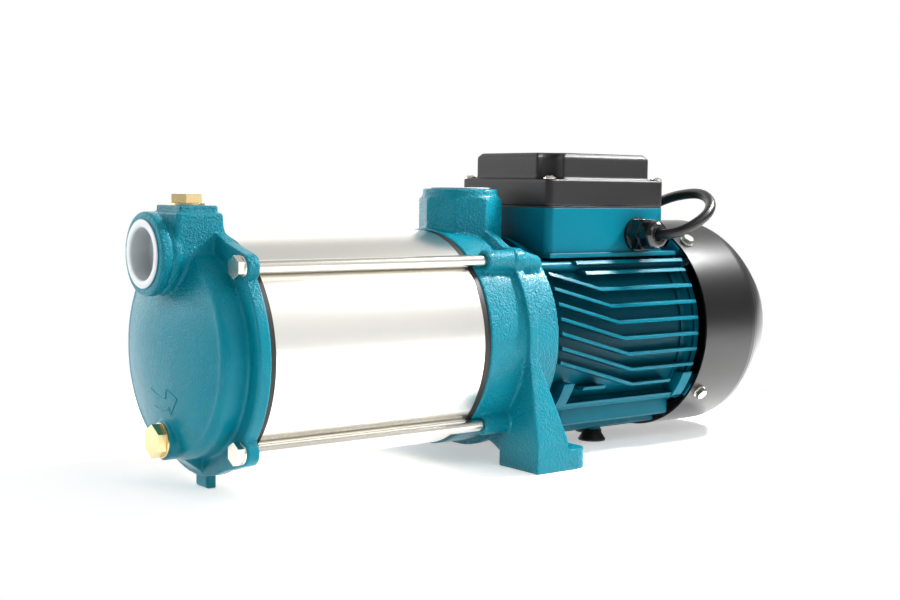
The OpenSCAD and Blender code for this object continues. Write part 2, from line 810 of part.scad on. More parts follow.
module bracket() {
    bearing_boss_r = front_bearing_r + 8;
    color(teal_cast) difference() {
        union() {
            rod_x(bracket_x0, rib_x0 + 1, ring_r);
            ring_x(stack_x1, bracket_x0 + 1, register_r, register_r - register_t);
            slab_x(rib_x0, bracket_x1) rear_outline();
            slab_x(rib_x0, rib_x1) rib_outline();
            rear_saddle();
            for (p = ties) rod_x(boss_x0, rib_x1, boss_r, p[0], p[1]);
            for (s = [-1, 1]) rod_x(rib_x1 - 1, rear_boss_x1, rear_boss_r, s * tie_offset,
                axis_h - tie_rise + rear_boss_drop);
            ring_x(bracket_x1 - 1, bracket_x1 + 4, tube_bore_r - spigot_gap, tube_bore_r - 4);
            discharge_boss();
            for (s = [-1, 1]) leg(s);
        }
        rod_x(bracket_x0 - 1, bulkhead_x0, chamber_r);
        rod_x(stack_x1 - 1, bracket_x0, register_r - register_t);
        difference() {
            rod_x(bulkhead_x1, bracket_x1 + 5, tube_bore_r - 4);
            rod_x(bulkhead_x1 - 1, bracket_x1, bearing_boss_r);
        }
        rod_x(front_bearing_x0, bracket_x1 + 1, front_bearing_r);
        rod_x(front_bearing_x0 - 3, front_bearing_x0 + 1, slinger_r + 2);
        rod_x(bulkhead_x0 - 1, bulkhead_x0 + seat_t, seat_r);
        rod_x(bulkhead_x0, bracket_x1, front_journal_r + 1);
        for (p = ties) rod_x(boss_x0 - 1, boss_x0 + tie_grip + 2, tie_hole_r, p[0], p[1]);
        for (a = [45:90:315]) motor_bolt_hole(a, bracket_x1 - 13, bracket_x1 + 1, motor_bolt_r + slip);
        translate([port_x, 0, discharge_z - port_bore_depth])
            cylinder(h = port_bore_depth + 1, r = port_bore_r);
        translate([port_x, 0, discharge_z - port_mouth_l])
            cylinder(h = port_mouth_l + 1, r = port_mouth_r);
        translate([port_x, 0, axis_h + chamber_r - 12])
            cylinder(h = discharge_z - axis_h - chamber_r, r = 11);
    }
}

module motor_bolt_hole(angle, x0, x1, r) {
    rod_x(x0, x1, r, motor_bolt_circle_r * cos(angle), axis_h + motor_bolt_circle_r * sin(angle));
}

module seal_seat() {
    color(ceramic) ring_x(bulkhead_x0 - 2, bulkhead_x0 + seat_t, seat_r, front_journal_r + running_gap);
}

// Motor

// Side fin number i, counted down from the top: slanted at the pump end, level at the fan end
module side_fin(i) {
    z_front = fin_top_front - i * fin_pitch_front;
    z_back = fin_top_back - i * fin_pitch;
    x_start = motor_x0 + 2;
    x_bend = x_start + (z_front - z_back) / fin_slope;
    x_end = i == 6 ? motor_x1 - 21 : motor_x1 - 3.3;
    intersection() {
        union() {
            translate([0, fin_r, 0]) rotate([90, 0, 0]) linear_extrude(2 * fin_r) polygon([
                [x_start, z_front], [x_bend, z_back], [x_end, z_back], [x_end, z_back - fin_t],
                [x_bend, z_back - fin_t], [x_start, z_front - fin_t]
            ]);
        }
        rod_x(motor_x0, motor_x1, fin_r);
    }
}

module plate_fin(z, x0, x1) {
    intersection() {
        translate([x0, -fin_r, z - fin_t / 2]) cube([x1 - x0, 2 * fin_r, fin_t]);
        rod_x(motor_x0, motor_x1, fin_r);
    }
}

module keel_fin(y) {
    intersection() {
        translate([motor_x0 + 22, y - fin_t / 2, 0]) cube([motor_l - 24, fin_t, axis_h - 20]);
        rod_x(motor_x0, motor_x1, keel_r);
    }
}

// Curved pads low on each side of the housing
module side_pads() {
    for (x = [motor_x0 + 9, motor_x1 - 12]) intersection() {
        ring_x(x, x + 9, fin_r + 1.2, tube_bore_r);
        translate([x - 1, -fin_r - 2, axis_h - 46]) cube([11, 2 * fin_r + 4, 17]);
    }
}

module box_shell() {
    translate([0, 0, box_z0]) linear_extrude(box_z1 - box_z0)
        rounded_rect(box_x0, box_x1, box_y, box_corner_r);
    translate([box_x0, -box_y - 2.2, box_z0]) cube([box_l + 10, box_w + 4.4, 2.8]);
}

module box_space() {
    translate([0, 0, box_floor_z]) linear_extrude(box_z1 - box_floor_z + 1)
        rounded_rect(box_x0 + box_wall, box_x1 - box_wall, box_y - box_wall, box_corner_r - box_wall + 1);
}

module motor_housing() {
    saddle_z = axis_h + tube_r - 3;
    color(teal_gloss) difference() {
        union() {
            difference() {
                union() {
                    box_shell();
                    for (i = [0:6]) side_fin(i);
                    for (i = [1:3]) for (s = [-1, 1]) keel_fin(s * i * keel_pitch);
                    for (s = [-1, 1]) translate([foot_place_x(s), s * keel_pitch, rear_foot_h])
                        cylinder(h = 6, r = rear_foot_top_r);
                }
                box_space();
                rod_x(motor_x0 - 1, motor_x1 + 1, tube_bore_r + 1);
            }
            rod_x(motor_x0, motor_x1, tube_r);
            rod_x(motor_x0, motor_x0 + 4, tube_lip_r);
            rod_x(motor_x1 - 13, motor_x1 - 9.5, tube_r + 1.5);
            for (a = [45:90:315]) motor_bolt_hole(a, motor_x0, motor_x1, motor_bolt_r + 1.3);
            side_pads();
            plate_fin(axis_h + 41.8, motor_x0 + 34, motor_x1 - 3.3);
            plate_fin(axis_h + 48.3, motor_x0 + 30, motor_x1 - 1);
            plate_fin(axis_h - 44.8, motor_x0 + 10, motor_x1 - 4);
            plate_fin(axis_h - 33.7, motor_x0 + 29, motor_x0 + 49);
            translate([0, 0, box_z0]) linear_extrude(box_z1 - box_z0) intersection() {
                rounded_rect(box_x0, box_x1, box_y, box_corner_r);
                for (p = lid_screws_at) translate(p) circle(lid_post_r);
            }
            for (x = [capacitor_x0 + 10, capacitor_x0 + capacitor_l - 14])
                translate([x, capacitor_y - 12, saddle_z - 8]) cube([4, 24, capacitor_z - 8 - saddle_z + 8]);
            translate([block_x0, block_y - block_w / 2, box_floor_z - 1])
                cube([block_l, block_w, block_z - box_floor_z + 1]);
        }
        rod_x(motor_x0 - 1, motor_x1 + 1, tube_bore_r);
        for (a = [45:90:315]) motor_bolt_hole(a, motor_x0 - 1, motor_x1 + 1, motor_bolt_r + slip);
        for (p = lid_screws_at) translate([p[0], p[1], box_z1 - lid_screw_grip - 1])
            cylinder(h = lid_screw_grip + 2, r = lid_screw_r + slip);
        rod_x(capacitor_x0 - 1, capacitor_x0 + capacitor_l + 1, capacitor_r + slip, capacitor_y, capacitor_z);
        translate([gland_x, 0, gland_z]) rotate([90, 0, 0])
            cylinder(h = box_y + 5, r = gland_shank_r + slip);
        translate([box_x0 + 14, 0, axis_h]) cylinder(h = box_floor_z - axis_h + 12, r = 5);
        for (s = [-1, 1]) translate([foot_place_x(s), s * keel_pitch, rear_foot_h - 1])
            cylinder(h = rear_stud_l + 1.5, r = rear_stud_r + slip);
    }
}

// Flared rubber feet, screwed up into bosses on two of the fins under the motor
function foot_place_x(s) = rear_foot_x + (s > 0 ? rear_foot_stagger : 0);

module rear_feet() {
    for (s = [-1, 1]) translate([foot_place_x(s), s * keel_pitch, 0]) {
        color(black) cylinder(h = 1, r = rear_foot_r);
        color(black) translate([0, 0, 1])
            cylinder(h = rear_foot_h - 1, r1 = rear_foot_r, r2 = rear_foot_top_r);
        color(steel) translate([0, 0, rear_foot_h - 3]) cylinder(h = rear_stud_l + 3, r = rear_stud_r);
    }
}

module stator_core() {
    color(iron) difference() {
        rod_x(stator_x0, stator_x1, tube_bore_r - eps);
        rod_x(stator_x0 - 1, stator_x1 + 1, stator_bore_r);
    }
}

module stator_windings() {
    color(copper) {
        ring_x(stator_x0 - coil_l_front, stator_x0, tube_bore_r - 4, stator_bore_r + 4);
        ring_x(stator_x1, stator_x1 + coil_l_rear, tube_bore_r - 4, stator_bore_r + 4);
    }
}

module rotor_core() {
    color(iron) ring_x(stator_x0, stator_x1, rotor_r, rotor_shaft_r + shaft_fit);
}

module cage_rings() {
    color([0.75, 0.76, 0.78]) {
        ring_x(stator_x0 - cage_l, stator_x0, rotor_r - 2, rotor_shaft_r + 5);
        ring_x(stator_x1, stator_x1 + cage_l, rotor_r - 2, rotor_shaft_r + 5);
    }
}

module motor_bolts() {
    head = motor_x1 + shield_t;
    color(steel) for (a = [45:90:315]) {
        motor_bolt_hole(a, bracket_x1 - 12, head, motor_bolt_r);
        motor_bolt_hole(a, head, head + 4, 4.2);
    }
}

// Rear endshield with the bearing seat and four lugs for the fan cover's screws
module rear_endshield() {
    color(teal_gloss) difference() {
        union() {
            rod_x(motor_x1, motor_x1 + shield_t, tube_r + 2);
            for (a = [45:90:315]) motor_bolt_hole(a, motor_x1, motor_x1 + shield_t, 4.4);
            ring_x(motor_x1 - 5, motor_x1 + 1, tube_bore_r - spigot_gap, tube_bore_r - 5);
            rod_x(rear_bearing_x0, shield_boss_x1, shield_boss_r);
            for (i = [0:3]) cover_lug(i);
        }
        rod_x(rear_bearing_x0 - 1, rear_bearing_x1 + spring_t, rear_bearing_r);
        rod_x(rear_bearing_x0, shield_boss_x1 + 1, rear_journal_r + 1);
        for (a = [45:90:315]) motor_bolt_hole(a, motor_x1 - 6, motor_x1 + shield_t + 1, motor_bolt_r + slip);
        for (i = [0:3]) at_cover_screw(i) translate([0, 0, cover_r - 13])
            cylinder(h = 20, r = cover_screw_r + slip);
    }
}

// Frame whose Z points outwards through fan cover screw i
module at_cover_screw(i) {
    translate([cover_screw_x, 0, axis_h]) rotate([45 + 90 * i - cover_screw_turn, 0, 0]) children();
}

module cover_lug(i) {
    intersection() {
        at_cover_screw(i) translate([-cover_screw_x + motor_x1, -5, tube_r]) cube([16, 10, 20]);
        rod_x(motor_x1, motor_x1 + 20, cover_r - cover_t - slip);
    }
}

module cover_screws() {
    color(steel) for (i = [0:3]) at_cover_screw(i) {
        translate([0, 0, cover_r - 11]) cylinder(h = 11 + 1, r = cover_screw_r);
        translate([0, 0, cover_r + 0.9]) cylinder(h = 3.5, r = cover_screw_head_r - 0.7, $fn = 6);
    }
    color(steel) for (i = [0:3]) at_cover_screw(i) translate([0, 0, cover_r]) difference() {
        cylinder(h = 0.9, r = cover_screw_head_r);
        translate([0, 0, -1]) cylinder(h = 3, r = cover_screw_r + slip);
    }
}

// Half outline of the fan cover's outside, or its inside when wall is its thickness: a plain
// band, then a shoulder that curves in to the flat grille
function cover_points(wall) =
    let (
        r = cover_r - wall,
        x1 = cover_x1 - wall,
        start = [r, cover_x1 - cover_shoulder_l],
        bend = [r, cover_x1 - cover_shoulder_l + 9],
        rim = [cover_grille_r + cover_edge_r * 0.5 - wall, x1 - cover_edge_r * 0.7],
        corner = [cover_grille_r + 1 - wall, x1]
    )
    concat(
        [[0, cover_x0 - (wall > 0 ? 1 : 0)], [r, cover_x0 - (wall > 0 ? 1 : 0)]],
        [for (i = [0:6]) let (t = i / 6) (1 - t) * (1 - t) * start + 2 * t * (1 - t) * bend + t * t * rim],
        [for (i = [1:4]) let (t = i / 4)
            (1 - t) * (1 - t) * rim + 2 * t * (1 - t) * corner + t * t * [cover_grille_r - 5, x1]],
        [[0, x1]]
    );

module fan_cover() {
    color(black) difference() {
        turned() polygon(cover_points(0));
        turned() polygon(cover_points(cover_t));
        for (i = [0:3]) at_cover_screw(i) translate([0, 0, cover_r - 5])
            cylinder(h = 10, r = cover_screw_r + slip);
        slab_x(cover_x1 - 5, cover_x1 + 5) difference() {
            translate([0, axis_h]) for (r = [13:7.5:43]) difference() {
                circle(r + 4.5);
                circle(r);
            }
            for (a = [0:45:135]) translate([0, axis_h]) rotate(a) square([2 * cover_r, 5], center = true);
        }
    }
}

// Terminal box lid and what is under it

module lid_outline(inset) {
    difference() {
        rounded_rect(box_x0 + dome_inset_x + inset, box_x1 - dome_inset_x - inset,
            box_y - dome_inset_y - inset, 5);
        for (p = lid_screws_at) translate(p) circle(lid_notch_r + inset);
    }
}

module terminal_lid() {
    color(black) difference() {
        union() {
            translate([0, 0, lid_z0]) linear_extrude(lid_rim_h)
                rounded_rect(box_x0, box_x1, box_y, box_corner_r);
            translate([0, 0, lid_z1 - 1]) linear_extrude(lid_dome_h + 1 - 3) lid_outline(0);
            translate([0, 0, lid_top - 3.1]) linear_extrude(1.7) lid_outline(0.7);
            translate([0, 0, lid_top - 1.5]) linear_extrude(1.5) lid_outline(2.2);
        }
        difference() {
            translate([0, 0, lid_z0 - 1]) linear_extrude(lid_rim_h + 1 - lid_wall)
                rounded_rect(box_x0 + lid_wall, box_x1 - lid_wall, box_y - lid_wall, box_corner_r - lid_wall);
            for (p = lid_screws_at) translate([p[0], p[1], 0]) cylinder(h = lid_top, r = lid_post_r);
        }
        translate([0, 0, lid_z1 - lid_wall - 1]) linear_extrude(lid_dome_h) lid_outline(lid_wall + 1);
        for (p = lid_screws_at) translate([p[0], p[1], lid_z0 - 1])
            cylinder(h = lid_rim_h + 3, r = lid_screw_r + slip);
    }
}

module lid_gasket() {
    color(black) difference() {
        translate([0, 0, box_z1]) linear_extrude(lid_gasket_t)
            rounded_rect(box_x0 + 0.3, box_x1 - 0.3, box_y - 0.3, box_corner_r - 0.3);
        difference() {
            translate([0, 0, box_z1 - 1]) linear_extrude(lid_gasket_t + 2)
                rounded_rect(box_x0 + box_wall, box_x1 - box_wall, box_y - box_wall, box_corner_r - box_wall);
            for (p = lid_screws_at) translate([p[0], p[1], box_z1 - 1]) cylinder(h = 5, r = lid_post_r);
        }
        for (p = lid_screws_at) translate([p[0], p[1], box_z1 - 1]) cylinder(h = 5, r = lid_screw_r + slip);
    }
}

module lid_screws() {
    color(steel) for (p = lid_screws_at) translate([p[0], p[1], lid_z1]) {
        difference() {
            intersection() {
                cylinder(h = 2.4, r = 4.2);
                translate([0, 0, -4]) sphere(r = 6.4);
            }
            translate([-0.5, -5, 1.3]) cube([1, 10, 3]);
            translate([-5, -0.5, 1.3]) cube([10, 1, 3]);
        }
        translate([0, 0, -lid_rim_h - lid_gasket_t - lid_screw_grip])
            cylinder(h = lid_rim_h + lid_gasket_t + lid_screw_grip + eps, r = lid_screw_r);
    }
}

module terminal_block() {
    color(ceramic) difference() {
        translate([block_x0, block_y - block_w / 2, block_z]) cube([block_l, block_w, block_h]);
        for (i = [0:5]) translate([stud_x(i), stud_y(i), block_z + 3]) cylinder(h = block_h, r = 2 + slip);
    }
}

function stud_x(i) = block_x0 + 7 + 14 * (i % 3);
function stud_y(i) = block_y + (i < 3 ? -4.5 : 4.5);

module terminal_studs() {
    color(brass) for (i = [0:5]) translate([stud_x(i), stud_y(i), block_z + 3.1]) {
        cylinder(h = block_h + 4, r = 2);
        translate([0, 0, block_h - 3]) cylinder(h = 3, r = 3.8, $fn = 6);
    }
}

module capacitor() {
    color([0.85, 0.85, 0.83]) {
        rod_x(capacitor_x0, capacitor_x0 + capacitor_l, capacitor_r, capacitor_y, capacitor_z);
        rod_x(capacitor_x0 - 4, capacitor_x0 + 1, 3, capacitor_y, capacitor_z);
    }
}

// Cable gland

module rod_y(y0, y1, r) {
    translate([gland_x, y1, gland_z]) rotate([90, 0, 0]) cylinder(h = y1 - y0, r = r);
}

module cable_gland() {
    color(black) difference() {
        union() {
            rod_y(gland_y1, gland_y0, gland_flange_r);
            translate([gland_x, gland_y1 + eps, gland_z]) rotate([90, 0, 0])
                cylinder(h = gland_body_l + eps, r = gland_body_af / 2 / cos(30), $fn = 6);
            rod_y(gland_y2 - gland_nipple_l, gland_y2 + 1, gland_nipple_r);
            rod_y(gland_y0 - 1, gland_y0 + 11, gland_shank_r);
        }
        rod_y(gland_y3, gland_y0 + 20, cable_r + 1);
    }
}

// Dome nut: a hexagon turned round to a domed end
module gland_nut() {
    color(black) difference() {
        intersection() {
            translate([gland_x, gland_y2, gland_z]) rotate([90, 0, 0])
                cylinder(h = gland_nut_l, r = gland_nut_af / 2 / cos(30), $fn = 6);
            translate([gland_x, gland_y2, gland_z]) rotate([90, 0, 0]) rotate_extrude() polygon(concat(
                [[0, 0], [gland_nut_af / 2 + 0.7, 0], [gland_nut_af / 2 + 0.7, gland_nut_l * 0.35]],
                [for (i = [1:6]) let (a = 15 * i) [
                    6.9 + (gland_nut_af / 2 + 0.7 - 6.9) * cos(a),
                    gland_nut_l * (0.35 + 0.65 * sin(a))]],
                [[0, gland_nut_l]]
            ));
        }
        rod_y(gland_y2 - gland_nipple_l - slip, gland_y2 + 1, gland_nipple_r + slip);
        rod_y(gland_y3 - 1, gland_y1, 5.6);
    }
}

module gland_seal() {
    color([0.16, 0.16, 0.17]) difference() {
        rod_y(gland_y3 + 0.8, gland_y2 - gland_nipple_l - 0.1, 5.6 - slip);
        rod_y(gland_y3 - 1, gland_y1, cable_r + slip);
        translate([gland_x, gland_y2 - gland_nipple_l - 0.4, gland_z]) rotate([90, 0, 0])
            cylinder(h = gland_nut_l, r1 = cable_r + slip, r2 = cable_r + 1.4);
    }
}

module gland_locknut() {
    inside = gland_y0 + box_wall;
    color(black) difference() {
        translate([gland_x, inside + locknut_t, gland_z]) rotate([90, 0, 0])
            cylinder(h = locknut_t, r = 11, $fn = 6);
        rod_y(inside - 1, inside + locknut_t + 1, gland_shank_r + slip);
    }
}

// Cord

function unit(v) = v / norm(v);
function route_way(i) = unit(cord_route[min(i + 1, len(cord_route) - 1)] - cord_route[max(i - 1, 0)]);
function route_side(i) =
    let (w = route_way(i), up = abs(w[2]) > 0.9 ? [1, 0, 0] : [0, 0, 1]) unit(cross(w, up));
// Each ring's side vector is turned as little as possible from the ring before it
function carried(i) = i == 0 ? route_side(0) :
    let (w = route_way(i), s = carried(i - 1)) unit(s - (s * w) * w);
function ring_point(i, k) =
    let (s = carried(i), t = cross(route_way(i), s), a = 360 * k / cord_sides)
    cord_route[i] + cable_r * (cos(a) * s + sin(a) * t);

module cord_tube() {
    last = len(cord_route) - 1;
    points = [for (i = [0:last]) for (k = [0:cord_sides - 1]) ring_point(i, k)];
    sides = [
        for (i = [0:last - 1]) for (k = [0:cord_sides - 1])
        let (a = i * cord_sides, b = a + cord_sides, n = (k + 1) % cord_sides)
        [a + k, b + k, b + n, a + n]
    ];
    start = [for (k = [0:cord_sides - 1]) k];
    end = [for (k = [cord_sides - 1:-1:0]) last * cord_sides + k];
    color(black) polyhedron(points, concat(sides, [start, end]), 4);
}

// Outer shape of the coil that the rest of the cord is wound into
module cord_coil() {
    color(black) translate([coil_x, coil_y, coil_z]) rotate_extrude()
        translate([coil_mid_r - coil_half_w, 0]) square([2 * coil_half_w, coil_h]);
}

module cord_plug() {
    color(black) translate([plug_x, plug_y, plug_z]) rotate([0, -90, 0]) {
        cylinder(h = 20, r = plug_r);
        translate([0, 0, -16]) cylinder(h = 16, r1 = 9, r2 = 15);
        translate([0, 0, -30]) cylinder(h = 14, r1 = 5.5, r2 = 8);
    }
}

module plug_pins() {
    color(steel) for (s = [-1, 1]) translate([plug_x - 20, plug_y + s * 9.5, plug_z]) rotate([0, -90, 0])
        cylinder(h = 19, r = 2.4);
}

// Thread caps

module thread_cap() {
    difference() {
        union() {
            translate([0, 0, -eps]) cylinder(h = cap_flange_t + eps, r = cap_flange_r);
            translate([0, 0, -cap_depth]) cylinder(h = cap_depth, r = port_mouth_r - slip);
        }
        translate([0, 0, -cap_depth + 1.5]) cylinder(h = cap_depth + cap_flange_t, r = cap_inner_r);
        cylinder(h = cap_flange_t + eps, r1 = cap_inner_r, r2 = cap_inner_r + 1.4);
    }
}

module inlet_cap() {
    color(white_cap) translate([inlet_x - eps, 0, inlet_z]) rotate([0, -90, 0]) thread_cap();
}

module discharge_cap() {
    color(white_cap) translate([port_x, 0, discharge_z + eps]) thread_cap();
}

// Rotating parts

module shaft() {
    shoulder = bracket_x1;
    color(steel) {
        rod_x(shaft_x0, hubs_x1 + eps, shaft_r);
        rod_x(hubs_x1, shoulder + eps, front_journal_r - shaft_fit);
        rod_x(shoulder, rear_bearing_x0 + eps, rotor_shaft_r);
        rod_x(rear_bearing_x0, rear_bearing_x1 + 8, rear_journal_r - shaft_fit);
        rod_x(rear_bearing_x1 + 7, shaft_x1, fan_shaft_r);
    }
}

module shaft_nut() {
    color(steel) difference() {
        hex_x(hubs_x0 - nut_l, hubs_x0, nut_af);
        rod_x(hubs_x0 - nut_l - 1, hubs_x0 + 1, shaft_r + shaft_fit);
    }
}

module seal_ring() {
    face = bulkhead_x0 - 2;
    color(iron) ring_x(face - seal_face_t, face - slip, seal_face_r, front_journal_r);
}

module seal_spring() {
    back = bulkhead_x0 - 2 - seal_face_t;
    color(steel) {
        ring_x(back - seal_spring_l, back, front_journal_r + 2, front_journal_r);
        for (i = [0:4])
            ring_x(back - 3 - 4 * i, back - 1 - 4 * i, front_journal_r + 4.5, front_journal_r + 1.9);
    }
}

module slinger() {
    back = front_bearing_x0 - 0.4;
    color(black) ring_x(back - slinger_t, back, slinger_r, front_journal_r);
}

// Ball bearing, as its fixed outer ring or its turning inner ring with the balls
module bearing_outer(x, w, r, bore) {
    mid = (r + bore) / 2;
    ball = (r - bore) * 0.28;
    color(steel) difference() {
        ring_x(x, x + w, r - eps, mid + ball * 0.55);
        ball_track(x + w / 2, mid, ball + loose);
    }
}

module bearing_inner(x, w, r, bore) {
    mid = (r + bore) / 2;
    ball = (r - bore) * 0.28;
    color(steel) {
        ring_x(x, x + w, mid - ball * 0.55, bore);
        for (i = [0:7]) translate([x + w / 2, 0, axis_h]) rotate([45 * i, 0, 0]) translate([0, 0, mid])
            sphere(r = ball, $fn = 24);
    }
}

module ball_track(x, mid, r) {
    translate([x, 0, axis_h]) rotate([0, 90, 0]) rotate_extrude() translate([mid, 0]) circle(r, $fn = 24);
}

module wave_spring() {
    color(steel) ring_x(rear_bearing_x1, rear_bearing_x1 + spring_t, rear_bearing_r - 1, rear_bearing_r - 4);
}

module fan() {
    color(black) {
        ring_x(fan_x0, fan_x0 + fan_hub_l, fan_hub_r, fan_shaft_r);
        ring_x(fan_x0 + 1, fan_x0 + 3, fan_r, fan_hub_r - eps);
        for (i = [0:fan_blade_count - 1]) translate([0, 0, axis_h]) rotate([360 * i / fan_blade_count, 0, 0])
            translate([fan_x0 + 1, -1, fan_hub_r - 1]) cube([20, 2, fan_r - fan_hub_r + 1]);
    }
}

module fan_circlip() {
    x = fan_x0 + fan_hub_l + 0.1;
    color(steel) ring_x(x, x + 1.2, fan_shaft_r + 3, fan_shaft_r + slip);
}

suction_head();
bracket();
barrel();
front_gasket();
rear_gasket();
inlet_plate();
diffuser(1);  // diffuser_1
diffuser(2);  // diffuser_2
diffuser(3);  // diffuser_3
diffuser(4);  // diffuser_4
diffuser(5);  // diffuser_5
tie_bolts();
tie_washers();
filler_plug();
drain_plug();
plug_washers();
motor_housing();
stator_core();
stator_windings();
rear_endshield();
motor_bolts();
fan_cover();
cover_screws();
terminal_lid();
lid_gasket();
lid_screws();
terminal_block();
terminal_studs();
capacitor();
cable_gland();
gland_nut();
gland_seal();
gland_locknut();
rear_feet();
seal_seat();
wave_spring();
bearing_outer(front_bearing_x0, front_bearing_w, front_bearing_r, front_journal_r);  // front_bearing_outer
bearing_outer(rear_bearing_x0, rear_bearing_w, rear_bearing_r, rear_journal_r);  // rear_bearing_outer
cord_tube();
cord_coil();
cord_plug();
plug_pins();
inlet_cap();
discharge_cap();
shaft();
impeller(1);  // impeller_1
impeller(2);  // impeller_2
impeller(3);  // impeller_3
impeller(4);  // impeller_4
impeller(5);  // impeller_5
shaft_nut();
seal_ring();
seal_spring();
slinger();
rotor_core();
cage_rings();
bearing_inner(front_bearing_x0, front_bearing_w, front_bearing_r, front_journal_r);  // front_bearing_inner
bearing_inner(rear_bearing_x0, rear_bearing_w, rear_bearing_r, rear_journal_r);  // rear_bearing_inner
fan();
fan_circlip();
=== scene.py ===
# %% [markdown]
# # A multistage pump on a white sweep
# The pump arrives as rigid CAD bodies in one frame, in metres, with its foot bolts at the
# origin and its shaft along X. This lesson leaves those bodies where they are and gives
# them what CAD can't: enamel over sand-cast iron, brushed steel, brass, moulded plastic,
# and a supply cord that lies as a real one does.

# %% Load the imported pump
import math

import bmesh
import bpy
from mathutils import Matrix, Vector


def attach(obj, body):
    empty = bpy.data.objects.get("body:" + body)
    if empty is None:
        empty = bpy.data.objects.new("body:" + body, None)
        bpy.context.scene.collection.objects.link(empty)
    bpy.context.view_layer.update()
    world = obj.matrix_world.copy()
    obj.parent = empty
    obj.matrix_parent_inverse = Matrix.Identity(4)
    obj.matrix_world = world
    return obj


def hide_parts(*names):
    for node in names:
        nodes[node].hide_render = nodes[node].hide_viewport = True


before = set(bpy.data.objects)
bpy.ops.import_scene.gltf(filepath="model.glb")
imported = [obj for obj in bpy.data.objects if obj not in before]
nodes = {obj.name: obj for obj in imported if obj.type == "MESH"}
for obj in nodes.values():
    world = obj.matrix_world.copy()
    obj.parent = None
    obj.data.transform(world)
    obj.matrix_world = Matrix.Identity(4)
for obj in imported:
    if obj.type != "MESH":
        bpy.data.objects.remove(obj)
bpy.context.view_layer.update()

# %% [markdown]
# ## Camera
# The photograph looks at the inlet end from the left, a little above the shaft. The angles
# came from fitting the shaft, the tie bolts and the terminal box, so each edge of the
# model falls on its edge in the photograph. Yaw turns from +Y towards +X, pitch looks
# down, and a small roll matches the slightly tilted horizon.

# %% Camera
yaw = math.radians(37.890)
pitch = math.radians(4.601)
roll = math.radians(-0.783)
sensor_mm = 36
lens_mm = 56.29
camera_at = (-0.60505, -0.72936, 0.177)

look = Vector((math.sin(yaw) * math.cos(pitch), math.cos(yaw) * math.cos(pitch),
               -math.sin(pitch)))
level_right = Vector((math.cos(yaw), -math.sin(yaw), 0))
level_down = look.cross(level_right)
right = math.cos(roll) * level_right + math.sin(roll) * level_down
down = -math.sin(roll) * level_right + math.cos(roll) * level_down

camera = bpy.data.objects.new("camera", bpy.data.cameras.new("camera"))
bpy.context.collection.objects.link(camera)
camera.data.sensor_width = sensor_mm
camera.data.lens = lens_mm
facing = Matrix((right, -down, -look)).transposed().to_4x4()
camera.matrix_world = Matrix.Translation(camera_at) @ facing
bpy.context.scene.camera = camera
print("camera at", [round(v, 4) for v in camera.matrix_world.translation])

# %% [markdown]
# ## Supply cord
# A 7 mm rubber lead leaves the gland level, turns up in one loop over the fan cover, comes
# down its far side and is wound into a coil on the floor behind the pump, which hides it.
# Its line is one smooth curve: the same points as the CAD route, then turns round the coil,
# two lanes wide and two layers high, and a last lift over the top to the plug.

# %% Cord route
cord_d = 7.0
cord_rest = 3.6          # height of the cord's middle where it lies on the floor
coil_lane = 42.0         # radius of the outer lane
coil_at = (109.5, 146.0)
turns = 4.25
steps_per_turn = 24
crossing = 0.3           # part of a turn in which the cord changes lane or layer
route_mm = [
    (87.4, -54, 146.4), (87.4, -60, 146.4), (87.5, -66, 146.5), (88.1, -72, 147),
    (89.9, -78, 148.2), (92.9, -83.5, 150.2), (97.3, -87.5, 153.2), (102.5, -90, 156.8),
    (108.1, -90.5, 160.6), (113.6, -88.5, 164.4), (118.6, -84.5, 168), (122.2, -79, 171.3),
    (124.7, -72, 173.7), (126, -64.5, 174.6), (126.5, -56, 174.2), (126.8, -46, 172.8),
    (127.4, -36, 170.6), (128.9, -24, 167.2), (130.8, -12, 163.8), (133.1, 0, 160.8),
    (136, 12, 158), (139.6, 25, 154.4), (143.6, 38, 149.6), (147.2, 50, 141.6),
    (150, 61, 131), (151.2, 70, 118), (151.5, 76, 104), (151.5, 79.5, 89),
    (151.5, 81, 74), (151.5, 82.5, 60), (151.5, 85, 46), (151.5, 89.5, 33),
    (151.5, 96.5, 22), (151.5, 105.5, 13), (151.5, 116, 7), (151.5, 128, 3.9),
    (151.5, 140, 3.6),
]
lift_to_plug = ((100, 17.8), (91, 18.3), (84, 18.5))


def crossed(turn, start):
    """How far a change of lane or layer that begins at a given turn has come, 0 to 1."""
    return min(max((turn - start) / crossing, 0), 1)


for step in range(1, int(turns * steps_per_turn) + 1):
    turn = step / steps_per_turn
    lane = coil_lane - cord_d * (crossed(turn, 0.85) - crossed(turn, 2.85))
    height = cord_rest + cord_d * (crossed(turn, 1.85) + crossed(turn, 3.85))
    angle = 2 * math.pi * turn
    route_mm.append((coil_at[0] + lane * math.cos(angle),
                     coil_at[1] + lane * math.sin(angle), height))
for x, z in lift_to_plug:
    route_mm.append((x, coil_at[1] + coil_lane, z))

last = len(route_mm) - 1
cord_path = []
for k in range(last):
    p0, p1, p2, p3 = (Vector(route_mm[min(max(k + d, 0), last)]) / 1000 for d in (-1, 0, 1, 2))
    for t in (0, 1 / 3, 2 / 3):
        cord_path.append(0.5 * (2 * p1 + (p2 - p0) * t + (2 * p0 - 5 * p1 + 4 * p2 - p3) * t ** 2
                                + (3 * p1 - p0 - 3 * p2 + p3) * t ** 3))
cord_path.append(Vector(route_mm[last]) / 1000)

# %% [markdown]
# ## A tube along a path
# Anything that follows a line can be made by the same small Geometry Nodes tree: it sweeps
# a round profile along the line's points. The radius and the number of sides are inputs of
# the tree, so the cord and the cast arrow below use one tree with different numbers.

